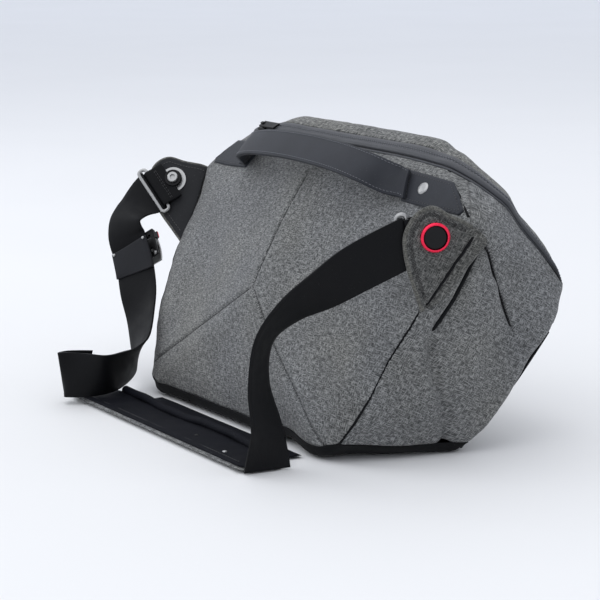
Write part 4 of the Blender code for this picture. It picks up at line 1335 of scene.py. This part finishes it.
def build_patch(side, name):
    """The coated patch at one end of the handle, with its stitches and rivet."""
    corners = [(x * side, v, 0) for x, v in PATCH_CORNERS]
    patch = filled("handle_patch_cloth_" + name, "slate", corners, 0.0028, 6)
    flat = coordinates(patch)
    edge, _ = polyline_distance(flat, corners + corners[:1])
    lifts = (0.0022 - 0.0006 * np.exp(-((edge - 0.0022) / 0.0008) ** 2)
             - 0.0008 * np.exp(-(edge / 0.0007) ** 2))
    placed = [on_back(x, v, lift) for (x, v, _), lift in zip(flat, lifts)]
    attach(laid_down(patch, flat, placed, OUT_BACK, 0.0018), "root", "slate",
           "handle_patch_" + name)
    rows = [fine_line([(x * side, v) for x, v in PATCH_STITCHES], 0.0019)]
    rows += [fine_line([(x * side, 0.2318), ((x + 0.0096) * side, 0.2105)], 0.0025)
             for x in (0.1130, 0.1146)]
    stitches("patch_stitches_" + name, rows, "dark_thread", "root", "slate", radius=0.00028)
    x, v = RIVET_AT
    attach(lathe("rivet_head_" + name, on_back(x * side, v, 0.0021), back_normal(x * side),
                 RIVET_PROFILE, "aluminium", 40), "root", "aluminium", "handle_rivet_" + name)


def end_lean(side):
    """Direction across the handle where it is sewn to its patch."""
    top, low = on_back(0.1090, 0.2345, 0), on_back(0.1205, 0.2085, 0)
    lean = (top - low).normalized()
    return Vector((lean.x * side, lean.y, lean.z))


def back_normal(x):
    """Outward direction of the back panel's top corner on the side of x."""
    side = 1 if x > 0 else -1
    corner, widest, centre = (bag(*p) for p in on_side([TOP, WIDEST, APEX_TOP], side))
    normal = (widest - corner).cross(centre - corner).normalized()
    return normal if normal.dot(OUT_BACK) > 0 else -normal


def on_back(x, v, lift):
    """A point over the flat top corner of the back panel, at x and height v."""
    normal = back_normal(x)
    side = 1 if x > 0 else -1
    corner = bag(TOP[0] * side, *TOP[1:])
    above = bag(x, 0, v)
    depth = (corner - above).dot(normal) / OUT_BACK.dot(normal)
    return above + OUT_BACK * depth + normal * lift


def fine_line(corners, lift, step=0.0015):
    points = []
    for start, end in zip(corners, corners[1:]):
        count = max(int(math.dist(start, end) / step), 1)
        for index in range(count):
            share = index / count
            points.append(on_back(start[0] + (end[0] - start[0]) * share,
                                  start[1] + (end[1] - start[1]) * share, lift))
    points.append(on_back(*corners[-1], lift))
    return points, [back_normal(corners[0][0])] * len(points)


def lathe(name, centre, axis, profile, look, sides=32):
    """A turned piece: profile of (radius, height) about an axis."""
    side = axis.orthogonal().normalized()
    other = axis.cross(side)
    vertices = [centre + axis * height
                + turned(side, other, 2 * math.pi * k / sides) * max(radius, 0.00005)
                for radius, height in profile for k in range(sides)]
    count = len(vertices)
    faces = grid_faces(len(profile), sides, closed=True)
    faces += [tuple(range(sides)), tuple(range(count - 1, count - sides - 1, -1))]
    obj = make(name, vertices, faces, look)
    with editing(obj) as bm:
        bmesh.ops.recalc_face_normals(bm, faces=bm.faces)
    return obj


# The shoulder pad

PAD_FROM_X = -0.1635
PAD_TO_X = 0.1345
PAD_NEAR_Y = -0.0665
PAD_FAR_Y = -0.0275
PAD_CORNER = 0.010


def pad_place(low, high, grow=0.0):
    """Middle surface of a pad layer: rounded ends, lifted a little towards the far edge."""
    length = PAD_TO_X - PAD_FROM_X + 2 * grow
    middle_y = (PAD_NEAR_Y + PAD_FAR_Y) / 2
    half = (PAD_FAR_Y - PAD_NEAR_Y) / 2 + grow

    def place(s, t):
        x = PAD_FROM_X - grow + length * s
        from_end = min(s, 1 - s) * length
        short = max(PAD_CORNER - from_end, 0)
        cut = PAD_CORNER - math.sqrt(PAD_CORNER ** 2 - short ** 2)
        y = middle_y + (2 * t - 1) * (half - cut)
        wave = 0.0007 * math.sin(x * 46.0) * t
        return floor(x, y, (low + high) / 2 + wave), UP

    return place


def build_pad():
    under = cushion("strap_pad_cloth", "heather", pad_place(0.0008, 0.0056), 0.0048, 150, 24,
                    edge=0.16)
    attach(under, "root", "heather", "strap_pad", fill=0.7)
    top = cushion("pad_lining_cloth", "lining", pad_place(0.0036, 0.0072, -0.0012), 0.0036, 150,
                  24, edge=0.12, puff=0.0006)
    attach(top, "root", "lining", "strap_pad_lining", fill=0.6)
    path = []
    for index in range(60):
        share = index / 59
        x = -0.126 + 0.250 * share
        lift = 0.0092 + 0.0010 * math.sin(x * 46.0) + 0.0004 * math.sin(x * 130)
        path.append(floor(x, PAD_FAR_Y - 0.0038 + 0.0008 * math.sin(x * 31), lift))
    tube("pad_roll_cloth", path, 0.0036, "lining", "lining", "pad_edge_roll", sides=16,
         flat=0.9, normals=[UP] * len(path), fill=0.6)

    # A black sheet on the floor between the pad's roll and the bag: painted shade in the gap
    # under the bag's bottom edge
    def flap_place(s, t):
        x = -0.114 + 0.228 * s
        sag = 0.0006 * math.sin(x * 58.0) * (1 - t)
        return floor(x, PAD_FAR_Y + 0.0006 + 0.0245 * t, 0.0022 + sag), UP

    flap = cushion("pad_shadow_flap_cloth", "lining", flap_place, 0.0022, 120, 14, edge=0.1)
    attach(flap, "root", "lining", "pad_inner_flap", fill=0.6)
    near = [floor(PAD_FROM_X + 0.012 + 0.272 * k / 70, PAD_NEAR_Y + 0.0052, 0.0069)
            for k in range(71)]
    stitches("pad_stitches", [(near, [UP] * len(near))], "dark_thread", "root", "lining")
    for index, (x, y, look) in enumerate(((0.035, -0.0500, "black_plastic"),
                                          (0.090, -0.0560, "aluminium"))):
        attach(lathe("pad_snap_%d" % index, floor(x, y, 0.0072), UP,
                     [(0, 0.0008), (0.0012, 0.0007), (0.0019, 0.0003), (0.0020, -0.0012)], look,
                     24), "root", look)


# Inside: liner, facing round the rim, dividers and flaps

def build_inside():
    inner = {"ripple": 0.0003, "longest": 0.0060, "wall": 0.0012, "tree": LINING_SKIN}
    sewn_panel("liner_cloth", "liner_grey", "interior_liner", is_any, BELOW_RIM, **inner)
    sewn_panel("lid_lining_cloth", "lining", "lid_lining", is_any, [(RIM_V + 0.0012, True)],
               body="lid", **inner)
    for name, height, body in (("rim_facing", -0.0004, "root"), ("lid_facing", 0.0022, "lid")):
        outer = rim_row(height, -0.0014)[0]
        inner = rim_row(height, -0.0002, LINING_SKIN)[0]
        rows = [[a.lerp(b, step / 5) for a, b in zip(outer, inner)] for step in range(6)]
        facing = sheet(name, rows, "black_cloth", [(p.x, p.z, 0) for row in rows for p in row])
        attach(solidify(facing, 0.0010, 0), body, "black_cloth")
    ends = [bag(NOSE[0] * (1 - 2 * k / 40) * 0.985, *NOSE[1:]) for k in range(41)]
    points, normals = zip(*(on_skin(end, -0.0004) for end in ends))
    tube("lid_piping", points, 0.0017, "zip_cover", "zip_cover", "lid_hinge_piping",
         normals=normals)


def inner_reach(x, v, sign):
    """How far the lining lies from the middle, before or behind, at x and height v."""
    start = bag(x, 0.045, v)
    hit, _, _, _ = LINING_SKIN.ray_cast(start, direction(0, sign, 0))
    return (hit - start).length - 0.0030 if hit else 0.02


def build_dividers():
    for side, name in SIDES:
        x = side * 0.058
        start = bag(x, 0.045, 0.08)
        hit, _, _, _ = LINING_SKIN.ray_cast(start, direction(0, 0, -1))
        low = 0.08 - (hit - start).length + 0.003
        heights = [low + (0.132 - low) * k / 20 for k in range(21)]
        reach = [(inner_reach(x, v, 1), inner_reach(x, v, -1)) for v in heights]

        def place(s, t, x=x, heights=heights, reach=reach):
            row = min(int(t * 20), 19)
            share = t * 20 - row
            ahead = reach[row][0] * (1 - share) + reach[row + 1][0] * share
            behind = reach[row][1] * (1 - share) + reach[row + 1][1] * share
            v = heights[row] * (1 - share) + heights[row + 1] * share
            return bag(x, 0.045 - behind + (ahead + behind) * s, v), ACROSS

        slab = cushion("divider_cloth_" + name, "liner_grey", place, 0.0072, 30, 30, edge=0.10,
                       puff=0.0005, cloth=side_cloth)
        attach(slab, "root", "liner_grey", "divider_" + name, fill=0.8)

        def flap_place(s, t, x=x):
            return bag(x, 0.006 + 0.078 * s, 0.1395 + 0.0535 * t), ACROSS

        flap = cushion("flap_cloth_" + name, "liner_grey", flap_place, 0.0058, 26, 20, edge=0.10,
                       puff=0.0004, cloth=side_cloth)
        attach(flap, "divider_flap_" + name, "liner_grey", "divider_flap_" + name, fill=0.8)
        hinge = [bag(x, 0.010 + 0.070 * k / 12, 0.1362) for k in range(13)]
        tube("flap_hinge_" + name, hinge, 0.0022, "liner_grey", "liner_grey")


def side_cloth(co):
    """Flat cloth coordinates for a piece that stands across the bag."""
    axes = bag_axes(co)
    return np.stack([axes["d"], axes["v"], axes["x"]], axis=1)


# Front pocket and carry straps

POCKET_INSET = 0.008
POCKET_ZIP_DROP = 0.016


def build_front():
    top, low = bag(0, *FRONT_TOP[1:]), bag(0, *FRONT_LOW[1:])
    up = (top - low).normalized()
    out = (-ACROSS).cross(up).normalized()
    height = (top - low).length - 2 * POCKET_INSET
    middle = top.lerp(low, 0.5)

    def place(s, t):
        half = FRONT_LOW[0] + (FRONT_TOP[0] - FRONT_LOW[0]) * t - POCKET_INSET
        return (middle - ACROSS * (2 * s - 1) * half + up * (t - 0.5) * height
                + out * 0.0015), out

    pocket = cushion("front_pocket_cloth", "heather", place, 0.0046, 70, 34, edge=0.05,
                     puff=0.0006)
    attach(pocket, "root", "heather", "front_pocket", fill=0.4)
    zip_up = height / 2 - POCKET_ZIP_DROP
    stations = [[middle + ACROSS * x + up * zip_up + out * 0.0046, up.copy()]
                for x in (0.095, 0.05, 0, -0.05, -0.095)]
    tape = strap("pocket_zip_cloth", stations, 0.012, 0.0011, "zip_cover", steps=10)
    attach(tape, "root", "zip_cover", "pocket_zip_tape")
    coil = [middle + ACROSS * (0.094 - 0.188 * k / 90) + up * zip_up
            + out * (0.0050 + (0.0002 if k % 2 else -0.0002)) for k in range(91)]
    tube("pocket_coil", coil, 0.0009, "black_plastic", "black_plastic", sides=8)
    rows = []
    for drop in (-0.0048, 0.0048):
        line = [middle + ACROSS * (0.094 - 0.188 * k / 60) + up * (zip_up + drop) + out * 0.0052
                for k in range(61)]
        rows.append((line, [out] * len(line)))
    stitches("pocket_stitches", rows, "dark_thread", "root", "zip_cover")


CARRY_INSET = 0.014
CARRY_LIFT = 0.0006
CARRY_WIDTH = 0.022
CARRY_THICK = 0.0024
# Each strap's span, as shares of the edge from the nose to the foot
CARRY_SPANS = {"upper": (0.27, 0.67), "lower": (0.69, 0.97)}


def settle_strap(point, normal, bulge, flip):
    """A stowed strap's place: on the swollen cloth, and near the foot where the hooks hold it."""
    laid, _ = on_skin(point * flip, bulge)
    laid.z = max(laid.z, point.z)
    place = (point + normal * bulge) * flip
    place = place.lerp(laid, min(max((point.z - 0.006) / 0.012, 0), 1))
    place.z += CARRY_LIFT
    return place


def build_carry_straps():
    nose, foot, inner = bag(*NOSE), bag(*FRONT_FOOT), bag(*FRONT_TOP)
    edge = nose - foot
    normal = edge.cross(nose - inner).normalized()
    if normal.dot(OUT_BACK) > 0:
        normal = -normal
    along = edge.normalized()
    across = along.cross(normal)
    for level, (start, end) in CARRY_SPANS.items():
        for side, name in SIDES:
            flip = Vector((side, 1, 1))

            def place(share, low, start=start, end=end, flip=flip):
                point = nose.lerp(foot, start + (end - start) * share) + across * CARRY_INSET
                return settle_strap(point, normal, low + 0.0016 * math.sin(math.pi * share), flip)

            stations = [[place(step / 6, 0.0030), across * flip] for step in range(7)]
            piece = strap("carry_cloth_%s_%s" % (level, name), stations, CARRY_WIDTH,
                          CARRY_THICK, "webbing", steps=5)
            attach(piece, "root", "webbing", "carry_strap_%s_%s" % (level, name))
            rows = [([place(share, 0.0043) + across * flip * (0.009 * k / 3)
                      for k in range(-3, 4)], [normal * flip] * 7)
                    for share in (0.03, 0.10, 0.90, 0.97)]
            stitches("carry_stitches_%s_%s" % (level, name), rows, "dark_thread", "root",
                     "webbing")


def build_adjuster():
    """The dark sleeve over the adjuster, its pin ends, the lever plate and a coloured tab."""
    run = stations_of(LEFT_LOWER_RUN)
    across = run[0][1]
    down = (run[1][0] - run[0][0]).normalized()
    out = across.cross(down).normalized()
    if out.dot(Vector((0.86, -0.51, 0.1))) < 0:
        out = -out
    sleeve = [[point + out * 0.0019, lean.copy()] for point, lean in
              (run[0], run[1], [run[1][0].lerp(run[2][0], 0.35), run[2][1]])]
    cloth = strap("adjuster_sleeve", sleeve, 0.0392, 0.0018, "sleeve", steps=8, arch=0.0006)
    attach(cloth, "root", "webbing")
    for index, share in enumerate((-1, 1)):
        centre = run[0][0] + across * share * 0.0172 + down * 0.0016 + out * 0.0028
        attach(lathe("adjuster_pin_end_%d" % index, centre, out,
                     [(0, 0.0009), (0.0009, 0.0008), (0.0014, 0.0004), (0.0015, -0.0010)],
                     "aluminium", 20), "root", "aluminium")
    pin = floor(-0.2265, -0.0213 + BASE_MID_Y, 0.11611)
    lever_down = (down - across * down.dot(across)).normalized()
    behind = -out
    plate = [[pin + lever_down * drop + behind * lift, across.copy()] for drop, lift in
             ((-0.0030, 0.0002), (0.0010, 0.0014), (0.0080, 0.0030), (0.0160, 0.0034),
              (0.0230, 0.0022), (0.0280, 0.0002))]
    lever = strap("adjuster_lever_plate", plate, 0.0415, 0.0016, "aluminium", steps=6,
                  arch=0.0)
    attach(lever, "adjuster_lever", "aluminium", "adjuster_lever")
    tab = [[pin + lever_down * drop + across * 0.0200 + behind * 0.0034, across.copy()]
           for drop in (-0.0010, 0.0020, 0.0050)]
    piece = strap("adjuster_tab", tab, 0.0044, 0.0014, "red", steps=4)
    attach(piece, "adjuster_lever", "red")


build_wings()
build_straps()
build_adjuster()
build_connectors()
build_handle()
build_pad()
build_inside()
build_dividers()
build_front()
build_carry_straps()


# Camera, lights and floor

CAMERA_AT = (1.501, -0.898, 0.426)
CAMERA_AZIMUTH = 58.8
CAMERA_ELEVATION = 10.6
CAMERA_LENS = 132.0
LIGHTS_AIM = Vector((0, 0, 0.1))
# Name, place, width, power and colour of each soft light
LIGHTS = [("key", (0.4, -1.2, 2.2), 3.0, 16.5, (1, 1, 1)),
          ("top", (-0.6, 0.6, 2.4), 3.4, 14, (1, 1, 1)),
          ("left", (-1.8, -1.2, 1.0), 1.2, 7, (0.94, 0.97, 1.0))]
WORLD_COLOUR = (0.80, 0.83, 0.90, 1)
WORLD_STRENGTH = 1.06
FLOOR_SIZE = 24.0
FLOOR_STEPS = 60


def camera():
    data = bpy.data.cameras.new("camera")
    data.sensor_width = 36.0
    data.lens = CAMERA_LENS
    data.clip_end = 50.0
    data.dof.use_dof = False
    obj = linked("camera", data)
    obj.location = CAMERA_AT
    obj.rotation_euler = (math.radians(90 - CAMERA_ELEVATION), 0, math.radians(CAMERA_AZIMUTH))
    bpy.context.scene.camera = obj


def area(name, place, size, power, colour):
    """A round soft light aimed at the bag."""
    data = bpy.data.lights.new(name, "AREA")
    data.shape = "DISK"
    data.size = size
    data.energy = power
    data.color = colour
    obj = linked(name, data)
    obj.location = place
    obj.rotation_euler = (LIGHTS_AIM - Vector(place)).to_track_quat("-Z", "Y").to_euler()


def stage():
    """A pale floor graded as painted light and shade, the sky's soft light and the lights."""
    marks = [(step / FLOOR_STEPS - 0.5) * FLOOR_SIZE for step in range(FLOOR_STEPS + 1)]
    points = [(x, y, 0) for y in marks for x in marks]
    shade = Shade("studio_floor", rough=0.7, specular=0.2)
    distance = shade.node("VectorMath", {0: shade.where()}, operation="LENGTH")
    # Painted light and shade: the floor's colour runs from darker near the bag to lighter and
    # bluer far away
    near = shade.ramp(shade.math("MULTIPLY", distance.outputs["Value"], 0.1),
                      (0.03, (0.775, 0.775, 0.772)), (0.16, (0.785, 0.788, 0.792)),
                      (0.60, (0.83, 0.845, 0.87)))
    speckle = shade.ramp(shade.noise(shade.where(), 3.0, 3.0), (0.3, 0.985), (0.7, 1.0))
    shade.colour(shade.mix(1.0, near, speckle, "MULTIPLY"))
    LOOKS["floor"] = shade.material
    make("studio_floor", points, grid_faces(len(marks), len(marks)), "floor")
    world = bpy.data.worlds.new("studio")
    world.use_nodes = True
    background = world.node_tree.nodes["Background"]
    background.inputs[0].default_value = WORLD_COLOUR
    background.inputs[1].default_value = WORLD_STRENGTH
    bpy.context.scene.world = world
    for light in LIGHTS:
        area(*light)
    bpy.context.scene.view_settings.view_transform = "Standard"


camera()
stage()

for part in frame["record"]["subparts"]:
    node = NODES[part["node"]]
    slot = part.get("material_slot") or part.get("slot")
    node.data.materials.clear()
    node.data.materials.append(LOOKS.get(slot, LOOKS["black_plastic"]))
